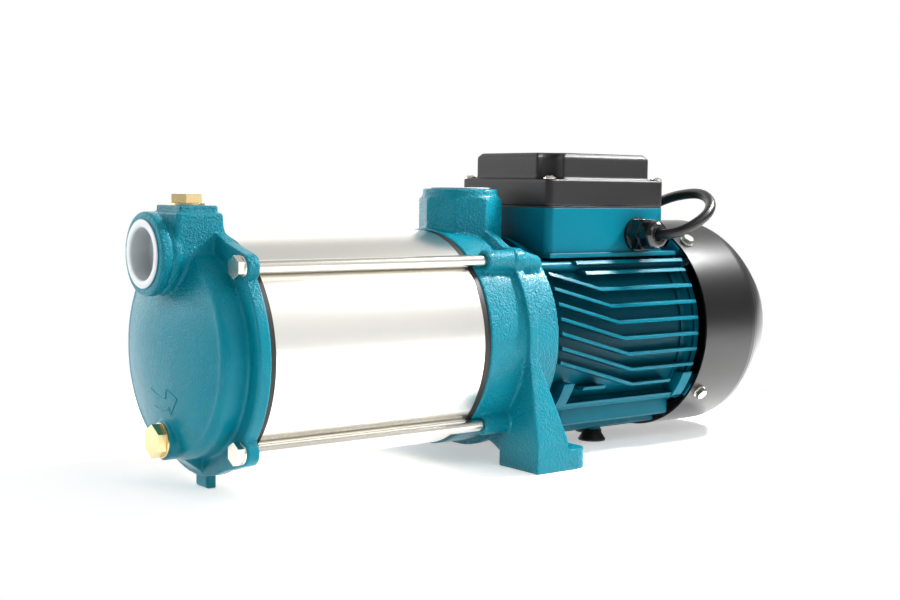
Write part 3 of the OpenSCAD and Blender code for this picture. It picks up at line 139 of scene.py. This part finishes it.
# %% Sweep tree
def sweep_tree():
    """Path, Radius, Sides and Finish go in, and a closed tube comes out."""
    tree = bpy.data.node_groups.new("sweep along path", "GeometryNodeTree")
    inputs = (
        ("Path", "NodeSocketGeometry", None),
        ("Radius", "NodeSocketFloat", 0.0035),
        ("Sides", "NodeSocketInt", 20),
        ("Finish", "NodeSocketMaterial", None),
    )
    for name, kind, default in inputs:
        socket = tree.interface.new_socket(name=name, in_out="INPUT", socket_type=kind)
        if default is not None:
            socket.default_value = default
    tree.interface.new_socket(name="Tube", in_out="OUTPUT", socket_type="NodeSocketGeometry")
    kinds = {
        "given": "NodeGroupInput",
        "line": "GeometryNodeMeshToCurve",
        "round": "GeometryNodeCurvePrimitiveCircle",
        "sweep": "GeometryNodeCurveToMesh",
        "smooth": "GeometryNodeSetShadeSmooth",
        "real": "GeometryNodeRealizeInstances",
        "paint": "GeometryNodeSetMaterial",
        "result": "NodeGroupOutput",
    }
    made = {key: tree.nodes.new(kind) for key, kind in kinds.items()}
    made["sweep"].inputs["Fill Caps"].default_value = True
    links = (
        ("given", "Path", "line", "Mesh"),
        ("given", "Sides", "round", "Resolution"),
        ("given", "Radius", "round", "Radius"),
        ("line", "Curve", "sweep", "Curve"),
        ("round", "Curve", "sweep", "Profile Curve"),
        ("sweep", "Mesh", "smooth", "Geometry"),
        ("smooth", "Geometry", "real", "Geometry"),
        ("real", "Geometry", "paint", "Geometry"),
        ("given", "Finish", "paint", "Material"),
        ("paint", "Geometry", "result", "Tube"),
    )
    for start, out, end, into in links:
        tree.links.new(made[start].outputs[out], made[end].inputs[into])
    return tree


def swept(name, path, radius, sides):
    """Sweeps a circle along a path, a list of points in metres, into one plain mesh."""
    line = bmesh.new()
    points = [line.verts.new(point) for point in path]
    for first, second in zip(points, points[1:]):
        line.edges.new((first, second))
    data = bpy.data.meshes.new(name)
    line.to_mesh(data)
    line.free()
    piece = bpy.data.objects.new(name, data)
    bpy.context.collection.objects.link(piece)
    sweep = piece.modifiers.new("sweep", "NODES")
    sweep.node_group = sweep_nodes
    sockets = {item.name: item.identifier for item in sweep_nodes.interface.items_tree}
    sweep[sockets["Radius"]] = radius
    sweep[sockets["Sides"]] = sides
    graph = bpy.context.evaluated_depsgraph_get()
    tube = bpy.data.meshes.new_from_object(piece.evaluated_get(graph))
    piece.modifiers.clear()
    piece.data = tube
    closed = bmesh.new()
    closed.from_mesh(tube)
    bmesh.ops.remove_doubles(closed, verts=closed.verts, dist=rim_weld)
    bmesh.ops.recalc_face_normals(closed, faces=closed.faces)
    closed.to_mesh(tube)
    closed.free()
    return piece


rim_weld = 0.00001       # joins the rim of each closed end to the tube
sweep_nodes = sweep_tree()
print("sweep inputs:",
      [item.name for item in sweep_nodes.interface.items_tree if item.in_out == "INPUT"])

# %% Cord
supply_cord = swept("supply_cord", cord_path, cord_d / 2000, 20)
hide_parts("cord_tube", "cord_coil")
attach(supply_cord, "pump")
print("cord faces:", len(supply_cord.data.polygons))

# %% [markdown]
# ## Turned shapes
# A plug, a cap or any other round piece is a profile spun about its axis. The profile is a
# list of pairs, a distance along the axis and a radius, so it reads like a lathe drawing.

# %% Lathe helper
def lathe(name, profile, place, axis, segments=48):
    """Spins (distance along the axis, radius) pairs, in mm, into a closed mesh."""
    mesh = bmesh.new()
    rings = []
    for along, radius in profile:
        ring = []
        for k in range(segments):
            a = 2 * math.pi * k / segments
            ring.append(mesh.verts.new((radius * math.cos(a) / 1000,
                                        radius * math.sin(a) / 1000, along / 1000)))
        rings.append(ring)
    for low, high in zip(rings, rings[1:]):
        for k in range(segments):
            n = (k + 1) % segments
            mesh.faces.new((low[k], low[n], high[n], high[k]))
    mesh.faces.new(list(reversed(rings[0])))
    mesh.faces.new(rings[-1])
    bmesh.ops.recalc_face_normals(mesh, faces=mesh.faces)
    turn_to = Vector((0, 0, 1)).rotation_difference(Vector(axis)).to_matrix().to_4x4()
    mesh.transform(Matrix.Translation(Vector(place) / 1000) @ turn_to)
    data = bpy.data.meshes.new(name)
    mesh.to_mesh(data)
    mesh.free()
    data.shade_smooth()
    piece = bpy.data.objects.new(name, data)
    bpy.context.collection.objects.link(piece)
    return piece

# %% [markdown]
# ## Plug
# The plug has a broad face with the pins, a finger grip, and a ribbed sleeve that lets the
# cord bend where it enters.

# %% Plug body
plug_at = (65.5, 188.0, 18.5)
rib_count = 5
rib_pitch = 3.2
rib_growth = 0.5         # each rib is this much larger than the one before it
sleeve = [(-29.5, 4.6), (-29, 5.2)]
for rib in range(rib_count):
    start = -27.5 + rib_pitch * rib
    grow = rib_growth * rib
    sleeve += [(start, 5.3 + grow), (start + 0.4, 6.3 + grow),
               (start + 1.8, 6.3 + grow), (start + 2.2, 5.4 + grow)]
body = [(-11, 8.8), (-8, 10.6), (-4, 13.6), (-1.5, 15.4), (0.5, 17.2), (2, 18.2), (4, 18.45),
        (17.5, 18.45), (19, 18.1), (19.9, 17.0), (20, 16.2)]
moulded_plug = lathe("moulded_plug", sleeve + body, plug_at, (-1, 0, 0))
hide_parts("cord_plug")
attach(moulded_plug, "pump")
print("plug faces:", len(moulded_plug.data.polygons))

# %% [markdown]
# ## Thread caps
# A thin cup of white plastic is pushed into each port, with a narrow flange on the port's
# face. The profile runs from the closed end along the outside of the cup, round the
# flange, and back down the inside to the floor of the cup.

# %% Thread caps
cap_reach = 12.0         # how far the CAD cap goes into its port
cap_flange = 2.0         # how far the CAD cap stands out of it
cap_profile = [(-12, 15.1), (-11.7, 15.4), (0, 15.4), (0, 19.3), (0.2, 19.5), (0.8, 19.5),
               (1.0, 19.3), (1.0, 15.7), (0.6, 15.2), (-0.4, 14.8), (-10.2, 14.5),
               (-10.5, 14.2)]
thread_caps = []
for cap, out in (("inlet_cap", (-1, 0, 0)), ("discharge_cap", (0, 0, 1))):
    corners = [nodes[cap].matrix_world @ v.co * 1000 for v in nodes[cap].data.vertices]
    low = Vector([min(v[i] for v in corners) for i in range(3)])
    high = Vector([max(v[i] for v in corners) for i in range(3)])
    port_face = (low + high) / 2 + Vector(out) * (cap_reach - cap_flange) / 2
    moulding = lathe(cap + "_moulding", cap_profile, port_face, out, segments=72)
    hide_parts(cap)
    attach(moulding, cap)
    thread_caps.append(moulding)
    print(moulding.name, "seated at", [round(v, 1) for v in port_face])

# %% [markdown]
# ## Coil tie
# A strap round one side of the coil keeps the turns together. Its outline is a rounded
# rectangle about the four cord sections, flattened where it lies on the floor.

# %% Coil tie
tie_sides = 32
tie_half_length, tie_half_width, tie_half_height = 2.2, 7.6, 7.5
tie_middle = (coil_at[0], coil_at[1] - (coil_lane - cord_d / 2), 7.1)
tie_lowest = 0.12
tie_outside = 1.0625     # size of the outer face over that of the inner face
outline = []
for k in range(tie_sides):
    a = 2 * math.pi * k / tie_sides
    c, s = math.cos(a), math.sin(a)
    squared = 1 / (c ** 4 + s ** 4) ** 0.25
    outline.append((c * squared * tie_half_width, s * squared * tie_half_height))
strap = bmesh.new()
rows = []
for x, size in ((-tie_half_length, 1), (-tie_half_length, tie_outside),
                (tie_half_length, tie_outside), (tie_half_length, 1)):
    rows.append([strap.verts.new(((tie_middle[0] + x) / 1000,
                                  (tie_middle[1] + y * size) / 1000,
                                  max(tie_lowest, tie_middle[2] + z * size) / 1000))
                 for y, z in outline])
for low, high in zip(rows, rows[1:] + rows[:1]):
    for k in range(tie_sides):
        n = (k + 1) % tie_sides
        strap.faces.new((low[k], low[n], high[n], high[k]))
bmesh.ops.recalc_face_normals(strap, faces=strap.faces)
strap_mesh = bpy.data.meshes.new("coil_tie")
strap.to_mesh(strap_mesh)
strap.free()
strap_mesh.shade_smooth()
coil_tie = bpy.data.objects.new("coil_tie", strap_mesh)
bpy.context.collection.objects.link(coil_tie)
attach(coil_tie, "pump")
print("tie faces:", len(strap_mesh.polygons))

# %% [markdown]
# ## Castings
# Sand casting can't make a sharp inside or outside corner: the pattern has fillets, and
# the enamel fills them further. The CAD solids keep crisp edges because they set the
# sizes. A copy of each is wrapped in an even skin of small quads by a voxel remesh, then
# smoothed a few times, which rounds each corner by about the size of the voxels. Flat
# parts then need fewer faces, so some of the edges are collapsed.

# %% Cast skin helper
def cast_skin(name, node, body, voxel_mm, rounds, keep):
    """A copy of a CAD node with rounded edges; keep is the share of faces that stays."""
    joined = bmesh.new()
    joined.from_mesh(nodes[node].data)
    bmesh.ops.remove_doubles(joined, verts=joined.verts, dist=facet_weld)
    data = bpy.data.meshes.new(name)
    joined.to_mesh(data)
    joined.free()
    piece = bpy.data.objects.new(name, data)
    bpy.context.collection.objects.link(piece)
    remesh = piece.modifiers.new("even skin", "REMESH")
    remesh.mode = "VOXEL"
    remesh.voxel_size = voxel_mm / 1000
    soften = piece.modifiers.new("fillets", "SMOOTH")
    soften.factor = 0.5
    soften.iterations = rounds
    thin = piece.modifiers.new("fewer faces", "DECIMATE")
    thin.ratio = keep
    graph = bpy.context.evaluated_depsgraph_get()
    skin = bpy.data.meshes.new_from_object(piece.evaluated_get(graph))
    piece.modifiers.clear()
    piece.data = skin
    skin.shade_smooth()
    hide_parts(node)
    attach(piece, body)
    print(name, "faces:", len(skin.polygons))
    return piece


facet_weld = 0.00002     # joins the loose triangles of a CAD mesh into a closed skin

# %% Suction head, bracket and lid
head_casting = cast_skin("head_casting", "suction_head", "pump", 0.85, 2, 0.85)
bracket_casting = cast_skin("bracket_casting", "bracket", "pump", 0.9, 2, 0.55)
box_lid = cast_skin("box_lid", "terminal_lid", "pump", 0.8, 8, 0.9)

# %% [markdown]
# ## Cast arrow
# An arrow stands proud on the dome above the drain plug, as the foundry's pattern left it.
# Its outline is drawn flat, then each point is sent along the shaft until it meets the
# dome, and a round bead is swept along the line, so the arrow lies on the curved casting.

# %% Cast arrow
arrow_mm = [
    (12.6, 58.6), (7.6, 56.5), (3.2, 55.4), (-1.2, 54.9), (-5.6, 55.1), (-7.2, 60.3),
    (-12.8, 58.2), (-18.0, 56.0), (-13.6, 51.2), (-9.1, 46.2), (-7.8, 49.5), (-2.6, 48.1),
    (2.3, 47.7), (7.2, 47.8), (12.2, 48.2),
]
bead_radius = 0.0008
bead_sunk = 0.0003
ahead_of_dome = -0.3     # X from which the points are sent back towards the pump
points_per_edge = 4


def on_dome(y, z):
    start = Vector((ahead_of_dome, y / 1000, z / 1000))
    _, place, normal, _ = head_casting.ray_cast(start, Vector((1, 0, 0)))
    return place - normal * bead_sunk


arrow_line = []
for (y0, z0), (y1, z1) in zip(arrow_mm, arrow_mm[1:]):
    for k in range(points_per_edge):
        arrow_line.append(on_dome(y0 + (y1 - y0) * k / points_per_edge,
                                  z0 + (z1 - z0) * k / points_per_edge))
cast_arrow = swept("cast_arrow", arrow_line, bead_radius, 10)
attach(cast_arrow, "pump")
print("arrow faces:", len(cast_arrow.data.polygons))

# %% [markdown]
# ## Materials
# Each finish starts from what it is on the real pump. Patterns are scaled in millimetres
# through the Object coordinates, so they stay on the surface from every side. One helper
# adds a node, and the rest reads as a list of sockets and values.

# %% Colour and node helpers
def srgb(code):
    """A hex colour as seen on screen, turned into the linear values shaders use."""
    parts = [int(code[i:i + 2], 16) / 255 for i in (0, 2, 4)]
    return (*[p / 12.92 if p <= 0.04045 else ((p + 0.055) / 1.055) ** 2.4 for p in parts], 1)


def add(tree, kind, sockets=None, **settings):
    """Adds a node; sockets maps an input to a value or to another node's output."""
    node = tree.nodes.new(kind)
    for key, value in settings.items():
        setattr(node, key, value)
    for key, value in (sockets or {}).items():
        if isinstance(value, bpy.types.NodeSocket):
            tree.links.new(value, node.inputs[key])
        else:
            node.inputs[key].default_value = value
    return node


def new_finish(name):
    """An empty material, its tree, and a position on the piece in millimetres."""
    material = bpy.data.materials.new(name)
    material.use_nodes = True
    tree = material.node_tree
    tree.nodes.clear()
    place = add(tree, "ShaderNodeTexCoord")
    in_mm = add(tree, "ShaderNodeMapping",
                {"Vector": place.outputs["Object"], "Scale": (1000, 1000, 1000)})
    return material, tree, in_mm.outputs["Vector"]


def surface(tree, **sockets):
    """The Principled shader and the output that every finish ends in."""
    named = {key.replace("_", " "): value for key, value in sockets.items()}
    shader = add(tree, "ShaderNodeBsdfPrincipled", named)
    add(tree, "ShaderNodeOutputMaterial", {"Surface": shader.outputs["BSDF"]})

# %% [markdown]
# ### Enamel over sand-cast iron
# Enamel is sprayed over a surface that keeps the grain of the sand. The real grain is too
# fine to show at this distance, so it's drawn coarser, at 1.3 to 1.5 mm. Between the tops
# of the grains the paint scatters light, which a lower IOR than the 1.5 of smooth enamel
# stands for. The tops carry a thin wet coat, and so each one can catch a small spark.

# %% Cast enamel
def cast_enamel(name, light, deep, grain_mm, grain_depth, shine, rough_from=None):
    """Grains above the height rough_from are rougher than the ones below it, all in mm."""
    material, tree, mm = new_finish(name)
    cloud = add(tree, "ShaderNodeTexNoise", {"Vector": mm, "Scale": 0.04, "Detail": 3.0})
    tint = add(tree, "ShaderNodeMixRGB", {"Fac": cloud.outputs["Fac"], "Color1": srgb(light),
                                          "Color2": srgb(deep)})
    sand = add(tree, "ShaderNodeTexVoronoi",
               {"Vector": mm, "Scale": 1 / grain_mm, "Smoothness": 0.6}, feature="SMOOTH_F1")
    fine = add(tree, "ShaderNodeTexNoise", {"Vector": mm, "Scale": 1.6 / grain_mm, "Detail": 2.0})
    grains = add(tree, "ShaderNodeMath",
                 {0: fine.outputs["Fac"], 1: sand.outputs["Distance"]}, operation="SUBTRACT")
    tops = add(tree, "ShaderNodeMapRange", {"Value": grains.outputs[0], "From Min": 0.13,
                                            "From Max": 0.4, "To Min": 0.04, "To Max": shine})
    swell = add(tree, "ShaderNodeTexNoise", {"Vector": mm, "Scale": 0.1, "Detail": 1.0})
    patch = add(tree, "ShaderNodeTexNoise", {"Vector": mm, "Scale": 0.05, "Detail": 1.0})
    amount = add(tree, "ShaderNodeMapRange", {"Value": patch.outputs["Fac"], "From Min": 0.35,
                                              "From Max": 0.65, "To Min": 0.6, "To Max": 1.0})
    strength = amount.outputs["Result"]
    if rough_from is not None:
        fade = 8
        parts = add(tree, "ShaderNodeSeparateXYZ", {"Vector": mm})
        high = add(tree, "ShaderNodeMapRange",
                   {"Value": parts.outputs["Z"], "From Min": rough_from - fade,
                    "From Max": rough_from + fade, "To Min": 0.3, "To Max": 1.2})
        rough = add(tree, "ShaderNodeMath", {0: strength, 1: high.outputs["Result"]},
                    operation="MULTIPLY")
        strength = rough.outputs[0]
    edge = add(tree, "ShaderNodeBevel", {"Radius": 0.0009}, samples=4)
    coarse = add(tree, "ShaderNodeBump",
                 {"Height": swell.outputs["Fac"], "Normal": edge.outputs["Normal"],
                  "Strength": 0.3, "Distance": 0.001})
    grain = add(tree, "ShaderNodeBump",
                {"Height": grains.outputs[0], "Normal": coarse.outputs["Normal"],
                 "Strength": strength, "Distance": grain_depth / 1000})
    surface(tree, Base_Color=tint.outputs["Color"], Roughness=0.34, IOR=1.25,
            Normal=grain.outputs["Normal"], Coat_Weight=tops.outputs["Result"],
            Coat_Roughness=0.2)
    return material


bracket_enamel = cast_enamel("enamel over coarse cast iron", "008a9e", "00788c", 1.5, 0.75, 1.0)
head_enamel = cast_enamel("enamel over fine cast iron", "008ca0", "007a8e", 1.3, 0.6, 0.5,
                          rough_from=112)
print("made:", bracket_enamel.name, "and", head_enamel.name)

# %% [markdown]
# ### Enamel over die-cast aluminium
# The motor housing is pressure die-cast, so it has no grain. The same enamel looks darker
# and flatter there, with shade painted darkest between the fins, where less light comes in.

# %% Die-cast enamel
def die_cast_enamel():
    material, tree, mm = new_finish("enamel over die-cast aluminium")
    # Painted shade: ambient occlusion darkens the base colour between the fins and in other
    # recesses.
    painted_shade = add(tree, "ShaderNodeAmbientOcclusion", {"Distance": 0.014}, samples=6)
    unshaded_share = add(tree, "ShaderNodeMapRange",
                    {"Value": painted_shade.outputs["AO"], "From Min": 0.35, "From Max": 0.95})
    # Base colour with painted shade: 004454 where shade falls, 006c80 in the open.
    tint = add(tree, "ShaderNodeMixRGB", {"Fac": unshaded_share.outputs["Result"],
                                          "Color1": srgb("004454"), "Color2": srgb("006c80")})
    peel = add(tree, "ShaderNodeTexNoise", {"Vector": mm, "Scale": 0.35, "Detail": 1.0})
    edge = add(tree, "ShaderNodeBevel", {"Radius": 0.0008}, samples=6)
    skin = add(tree, "ShaderNodeBump",
               {"Height": peel.outputs["Fac"], "Normal": edge.outputs["Normal"],
                "Strength": 0.2, "Distance": 0.0003})
    surface(tree, Base_Color=tint.outputs["Color"], Roughness=0.4, IOR=1.17,
            Normal=skin.outputs["Normal"], Coat_Weight=0.05, Coat_Roughness=0.12)
    return material


smooth_enamel = die_cast_enamel()
print("made:", smooth_enamel.name)

# %% [markdown]
# ### Metals
# The barrel is rolled stainless sheet with a brushed finish round its girth: long fine
# scratches that stretch highlights along the shaft. Fasteners are bright zinc, plugs are
# turned brass, and the hidden parts are ground steel, laminated steel, cast aluminium and
# copper wire. The scratch scale has one number for each axis, in waves per millimetre.

# %% Metal finishes
def metal(name, colour, roughness, scratch_scale, depth, edge_mm=0.3, other=None):
    material, tree, mm = new_finish(name)
    stretch = add(tree, "ShaderNodeMapping", {"Vector": mm, "Scale": scratch_scale})
    scratch = add(tree, "ShaderNodeTexNoise",
                  {"Vector": stretch.outputs["Vector"], "Scale": 1.0, "Detail": 3.0})
    tint = add(tree, "ShaderNodeMixRGB", {"Fac": scratch.outputs["Fac"], "Color1": srgb(colour),
                                          "Color2": srgb(other or colour)})
    edge = add(tree, "ShaderNodeBevel", {"Radius": edge_mm / 1000}, samples=4)
    line = add(tree, "ShaderNodeBump",
               {"Height": scratch.outputs["Fac"], "Normal": edge.outputs["Normal"],
                "Strength": 0.3, "Distance": depth / 1000})
    surface(tree, Base_Color=tint.outputs["Color"], Metallic=1.0, Roughness=roughness,
            Normal=line.outputs["Normal"])
    return material


barrel_steel = metal("brushed stainless barrel", "f0eee9", 0.27, (3.0, 0.15, 0.15), 0.012,
                     0.2, "e9e7e1")
zinc = metal("bright zinc plate", "e3dfd6", 0.22, (0.8, 0.8, 0.8), 0.02, 0.3, "cfcac0")
brass = metal("turned brass", "dfcb9c", 0.26, (0.5, 4.0, 4.0), 0.02, 0.35, "cfb884")
ground_steel = metal("ground steel", "cfd0d0", 0.28, (2.0, 0.3, 0.3), 0.02)
laminated_steel = metal("laminated core steel", "7f8286", 0.45, (2.2, 0.05, 0.05), 0.05,
                        0.2, "686a6e")
raw_aluminium = metal("cast aluminium", "d2d4d6", 0.42, (0.7, 0.7, 0.7), 0.05, 0.4, "c0c2c4")
copper_wire = metal("varnished copper wire", "b8733e", 0.35, (0.1, 1.6, 1.6), 0.2, 0.2,
                    "8a4e24")
metals = (barrel_steel, zinc, brass, ground_steel, laminated_steel, raw_aluminium, copper_wire)
print("metals:", [finish.name for finish in metals])

# %% [markdown]
# ### Plastics, rubber and paint
# The lid is grained black plastic, the gland is smooth nylon, the cord is soft rubber and
# the fan cover is black paint on pressed sheet. The thread caps are thin white plastic,
# with painted shade that greys them deep in the cup, where less light comes in.

# %% Plastic finishes
def plastic(name, colour, roughness, grain_scale, grain_strength, edge_mm=0.4, coat=0.0,
            coat_rough=0.1, ior=1.5, other=None, painted_shade=None):
    """Two close tones over a fine grain, and a darker tone painted as shade in enclosed places.
    """
    material, tree, mm = new_finish(name)
    grain = add(tree, "ShaderNodeTexNoise", {"Vector": mm, "Scale": grain_scale, "Detail": 2.0})
    tint = add(tree, "ShaderNodeMixRGB", {"Fac": grain.outputs["Fac"], "Color1": srgb(colour),
                                          "Color2": srgb(other or colour)})
    if painted_shade:
        # Painted shade: ambient occlusion blends the colour towards the darker tone in enclosed
        # places.
        depth = add(tree, "ShaderNodeAmbientOcclusion", {"Distance": 0.03}, samples=6)
        tint = add(tree, "ShaderNodeMixRGB", {"Fac": depth.outputs["AO"], "Color1": srgb(painted_shade),
                                              "Color2": tint.outputs["Color"]})
    edge = add(tree, "ShaderNodeBevel", {"Radius": edge_mm / 1000}, samples=4)
    skin = add(tree, "ShaderNodeBump",
               {"Height": grain.outputs["Fac"], "Normal": edge.outputs["Normal"],
                "Strength": grain_strength, "Distance": 0.0003})
    surface(tree, Base_Color=tint.outputs["Color"], Roughness=roughness, IOR=ior,
            Normal=skin.outputs["Normal"], Coat_Weight=coat, Coat_Roughness=coat_rough)
    return material


lid_plastic = plastic("grained black plastic", "171618", 0.45, 1.6, 0.3, 0.5, ior=1.4,
                      other="121113")
gland_nylon = plastic("smooth black nylon", "0c0c0f", 0.1, 0.6, 0.05, coat=0.6)
cord_rubber = plastic("black cord sheath", "0d0d0d", 0.36, 0.8, 0.04, 0.2)
gasket_rubber = plastic("black gasket rubber", "141211", 0.5, 1.2, 0.2, 0.3)
cover_paint = plastic("black stove enamel on pressed sheet", "0c0a0b", 0.45, 0.12, 0.04, 0.5,
                      coat=0.8, coat_rough=0.28, ior=1.15)
# The caps' cups are greyed inside by painted shade, 5f6b74.
cap_plastic = plastic("white polyethylene", "e8eef1", 0.35, 0.4, 0.05, painted_shade="5f6b74")
pale_plastic = plastic("pale moulded plastic", "d9d7cf", 0.4, 0.8, 0.1)
ceramic = plastic("lapped ceramic", "e8e6df", 0.2, 0.5, 0.02)
carbon = plastic("lapped carbon", "2c2c2e", 0.45, 1.0, 0.05)
others = (lid_plastic, gland_nylon, cord_rubber, gasket_rubber, cover_paint, cap_plastic,
          pale_plastic, ceramic, carbon)
print("plastics and others:", [finish.name for finish in others])

# %% Give each piece its finish
stages = range(1, 6)
finishes = {
    head_enamel: ["suction_head", head_casting, cast_arrow],
    bracket_enamel: ["bracket", bracket_casting],
    smooth_enamel: ["motor_housing", "rear_endshield"],
    barrel_steel: ["barrel", "inlet_plate"] + [f"diffuser_{i}" for i in stages]
    + [f"impeller_{i}" for i in stages],
    zinc: ["tie_bolts", "tie_washers", "motor_bolts", "cover_screws", "lid_screws",
           "wave_spring", "shaft_nut", "seal_spring", "fan_circlip", "plug_pins"],
    brass: ["filler_plug", "drain_plug", "plug_washers", "terminal_studs"],
    ground_steel: ["shaft", "front_bearing_outer", "rear_bearing_outer",
                   "front_bearing_inner", "rear_bearing_inner"],
    laminated_steel: ["stator_core", "rotor_core"],
    raw_aluminium: ["cage_rings"],
    copper_wire: ["stator_windings"],
    lid_plastic: ["terminal_lid", box_lid],
    gland_nylon: ["cable_gland", "gland_nut", "gland_locknut", "fan"],
    cord_rubber: ["cord_tube", "cord_coil", "cord_plug", supply_cord, moulded_plug, coil_tie],
    gasket_rubber: ["front_gasket", "rear_gasket", "lid_gasket", "gland_seal", "rear_feet",
                    "slinger"],
    cover_paint: ["fan_cover"],
    cap_plastic: ["inlet_cap", "discharge_cap"] + thread_caps,
    pale_plastic: ["terminal_block", "capacitor"],
    ceramic: ["seal_seat"],
    carbon: ["seal_ring"],
}
dressed = set()
for material, things in finishes.items():
    for thing in things:
        piece = nodes[thing] if isinstance(thing, str) else thing
        piece.data.materials.clear()
        piece.data.materials.append(material)
        dressed.add(piece.name)
print("pieces with a finish:", len(dressed),
      "CAD nodes left:", sorted(n for n, o in nodes.items() if o.name not in dressed))

# %% [markdown]
# ## Studio
# The photograph is a catalogue shot on white: soft light, a white floor that keeps a soft
# shadow near the pump, and white all round. Three kinds of ray meet three answers. The
# camera sees plain white, and the floor fades into it away from the pump. Reflections see
# a floor that glows, a bright wall behind the pump, grey elsewhere and a soft patch high
# over the motor end, because shiny metal looks right only when it has both bright and
# dark things to mirror. All other rays get a plain matt floor and a dim, even sky.

# %% Floor
floor_reach = 4.0
floor_z = -0.0003        # a hair under the feet, so that two faces never share one plane
white_colour = (1, 1, 1, 1)
floor_mesh = bpy.data.meshes.new("floor")
floor_mesh.from_pydata([(x * floor_reach, y * floor_reach, floor_z)
                        for x, y in ((-1, -1), (1, -1), (1, 1), (-1, 1))],
                       [], [(0, 1, 2, 3)])
floor = bpy.data.objects.new("floor", floor_mesh)
bpy.context.collection.objects.link(floor)

floor_finish = bpy.data.materials.new("white sweep")
floor_finish.use_nodes = True
tree = floor_finish.node_tree
tree.nodes.clear()
ray = add(tree, "ShaderNodeLightPath")
spot = add(tree, "ShaderNodeTexCoord")
from_pump = add(tree, "ShaderNodeVectorMath",
                {0: spot.outputs["Object"], 1: (0.0, 0.1, 0.0)}, operation="DISTANCE")
far = add(tree, "ShaderNodeMapRange",
          {"Value": from_pump.outputs["Value"], "From Min": 0.26, "From Max": 0.37})
matt = add(tree, "ShaderNodeBsdfDiffuse", {"Color": srgb("f4f4f3")})
glow = add(tree, "ShaderNodeEmission", {"Color": white_colour, "Strength": 0.42})
lit = add(tree, "ShaderNodeAddShader", {0: matt.outputs[0], 1: glow.outputs[0]})
white = add(tree, "ShaderNodeEmission", {"Color": white_colour, "Strength": 1.0})
faded = add(tree, "ShaderNodeMixShader",
            {"Fac": far.outputs["Result"], 1: lit.outputs[0], 2: white.outputs[0]})
gleam = add(tree, "ShaderNodeEmission", {"Color": white_colour, "Strength": 0.9})
mirrored = add(tree, "ShaderNodeAddShader", {0: matt.outputs[0], 1: gleam.outputs[0]})
unseen = add(tree, "ShaderNodeMixShader",
             {"Fac": ray.outputs["Is Glossy Ray"], 1: matt.outputs[0], 2: mirrored.outputs[0]})
shown = add(tree, "ShaderNodeMixShader",
            {"Fac": ray.outputs["Is Camera Ray"], 1: unseen.outputs[0], 2: faded.outputs[0]})
add(tree, "ShaderNodeOutputMaterial", {"Surface": shown.outputs[0]})
floor_mesh.materials.append(floor_finish)
print("floor reaches", floor_reach, "m")

# %% World
world = bpy.data.worlds.new("white studio")
bpy.context.scene.world = world
world.use_nodes = True
tree = world.node_tree
tree.nodes.clear()
ray = add(tree, "ShaderNodeLightPath")
toward = add(tree, "ShaderNodeTexCoord")
axes = add(tree, "ShaderNodeSeparateXYZ", {"Vector": toward.outputs["Generated"]})
behind = add(tree, "ShaderNodeMapRange", {"Value": axes.outputs["Y"], "From Min": 0.5,
                                          "From Max": 0.95, "To Min": 0.25, "To Max": 2.6})
overhead = add(tree, "ShaderNodeVectorMath",
               {0: toward.outputs["Generated"], 1: (0.57, 0.25, 0.78)},
               operation="DOT_PRODUCT")
patch = add(tree, "ShaderNodeMapRange", {"Value": overhead.outputs["Value"], "From Min": 0.8,
                                         "From Max": 0.97, "To Min": 0.0, "To Max": 0.4})
bright = add(tree, "ShaderNodeMath", {0: behind.outputs["Result"], 1: patch.outputs["Result"]},
             operation="ADD")
dim = add(tree, "ShaderNodeBackground", {"Color": white_colour, "Strength": 0.38})
sky = add(tree, "ShaderNodeBackground",
          {"Color": (1, 0.995, 0.975, 1), "Strength": bright.outputs[0]})
white = add(tree, "ShaderNodeBackground", {"Color": white_colour, "Strength": 1.0})
mirror = add(tree, "ShaderNodeMixShader",
             {"Fac": ray.outputs["Is Glossy Ray"], 1: dim.outputs[0], 2: sky.outputs[0]})
shown = add(tree, "ShaderNodeMixShader",
            {"Fac": ray.outputs["Is Camera Ray"], 1: mirror.outputs[0], 2: white.outputs[0]})
add(tree, "ShaderNodeOutputWorld", {"Surface": shown.outputs[0]})
print("made:", world.name)

# %% [markdown]
# ### Lamps
# The key box is small and stands high beyond the motor end, so that it draws crisp
# highlights along the top edges. The others are large and soft: one over the camera, one
# on the inlet side, and a white card on the near side of the pump.

# %% Lamps
def softbox(name, place, target, width, height, watts):
    lamp = bpy.data.lights.new(name, "AREA")
    lamp.shape = "RECTANGLE"
    lamp.size = width
    lamp.size_y = height
    lamp.energy = watts
    lamp_object = bpy.data.objects.new(name, lamp)
    bpy.context.collection.objects.link(lamp_object)
    aim = Vector(target) - Vector(place)
    turned = aim.to_track_quat("-Z", "Y").to_matrix().to_4x4()
    lamp_object.matrix_world = Matrix.Translation(place) @ turned
    print(name, watts, "W")


shaft_middle = (0, 0, 0.08)
softbox("key box", (0.46, -0.2, 0.58), (0, -0.02, 0.1), 0.13, 0.13, 10.5)
softbox("long box over the camera", (-0.5, -1.3, 1.25), shaft_middle, 1.5, 0.5, 4.5)
softbox("inlet side box", (-1.3, 0.8, 0.6), shaft_middle, 0.8, 0.9, 9)
softbox("white card beside the barrel", (0.16, -0.62, 0.42), (-0.1, 0, 0.1), 0.6, 1.0, 1.2)

bpy.context.scene.view_settings.view_transform = "Standard"
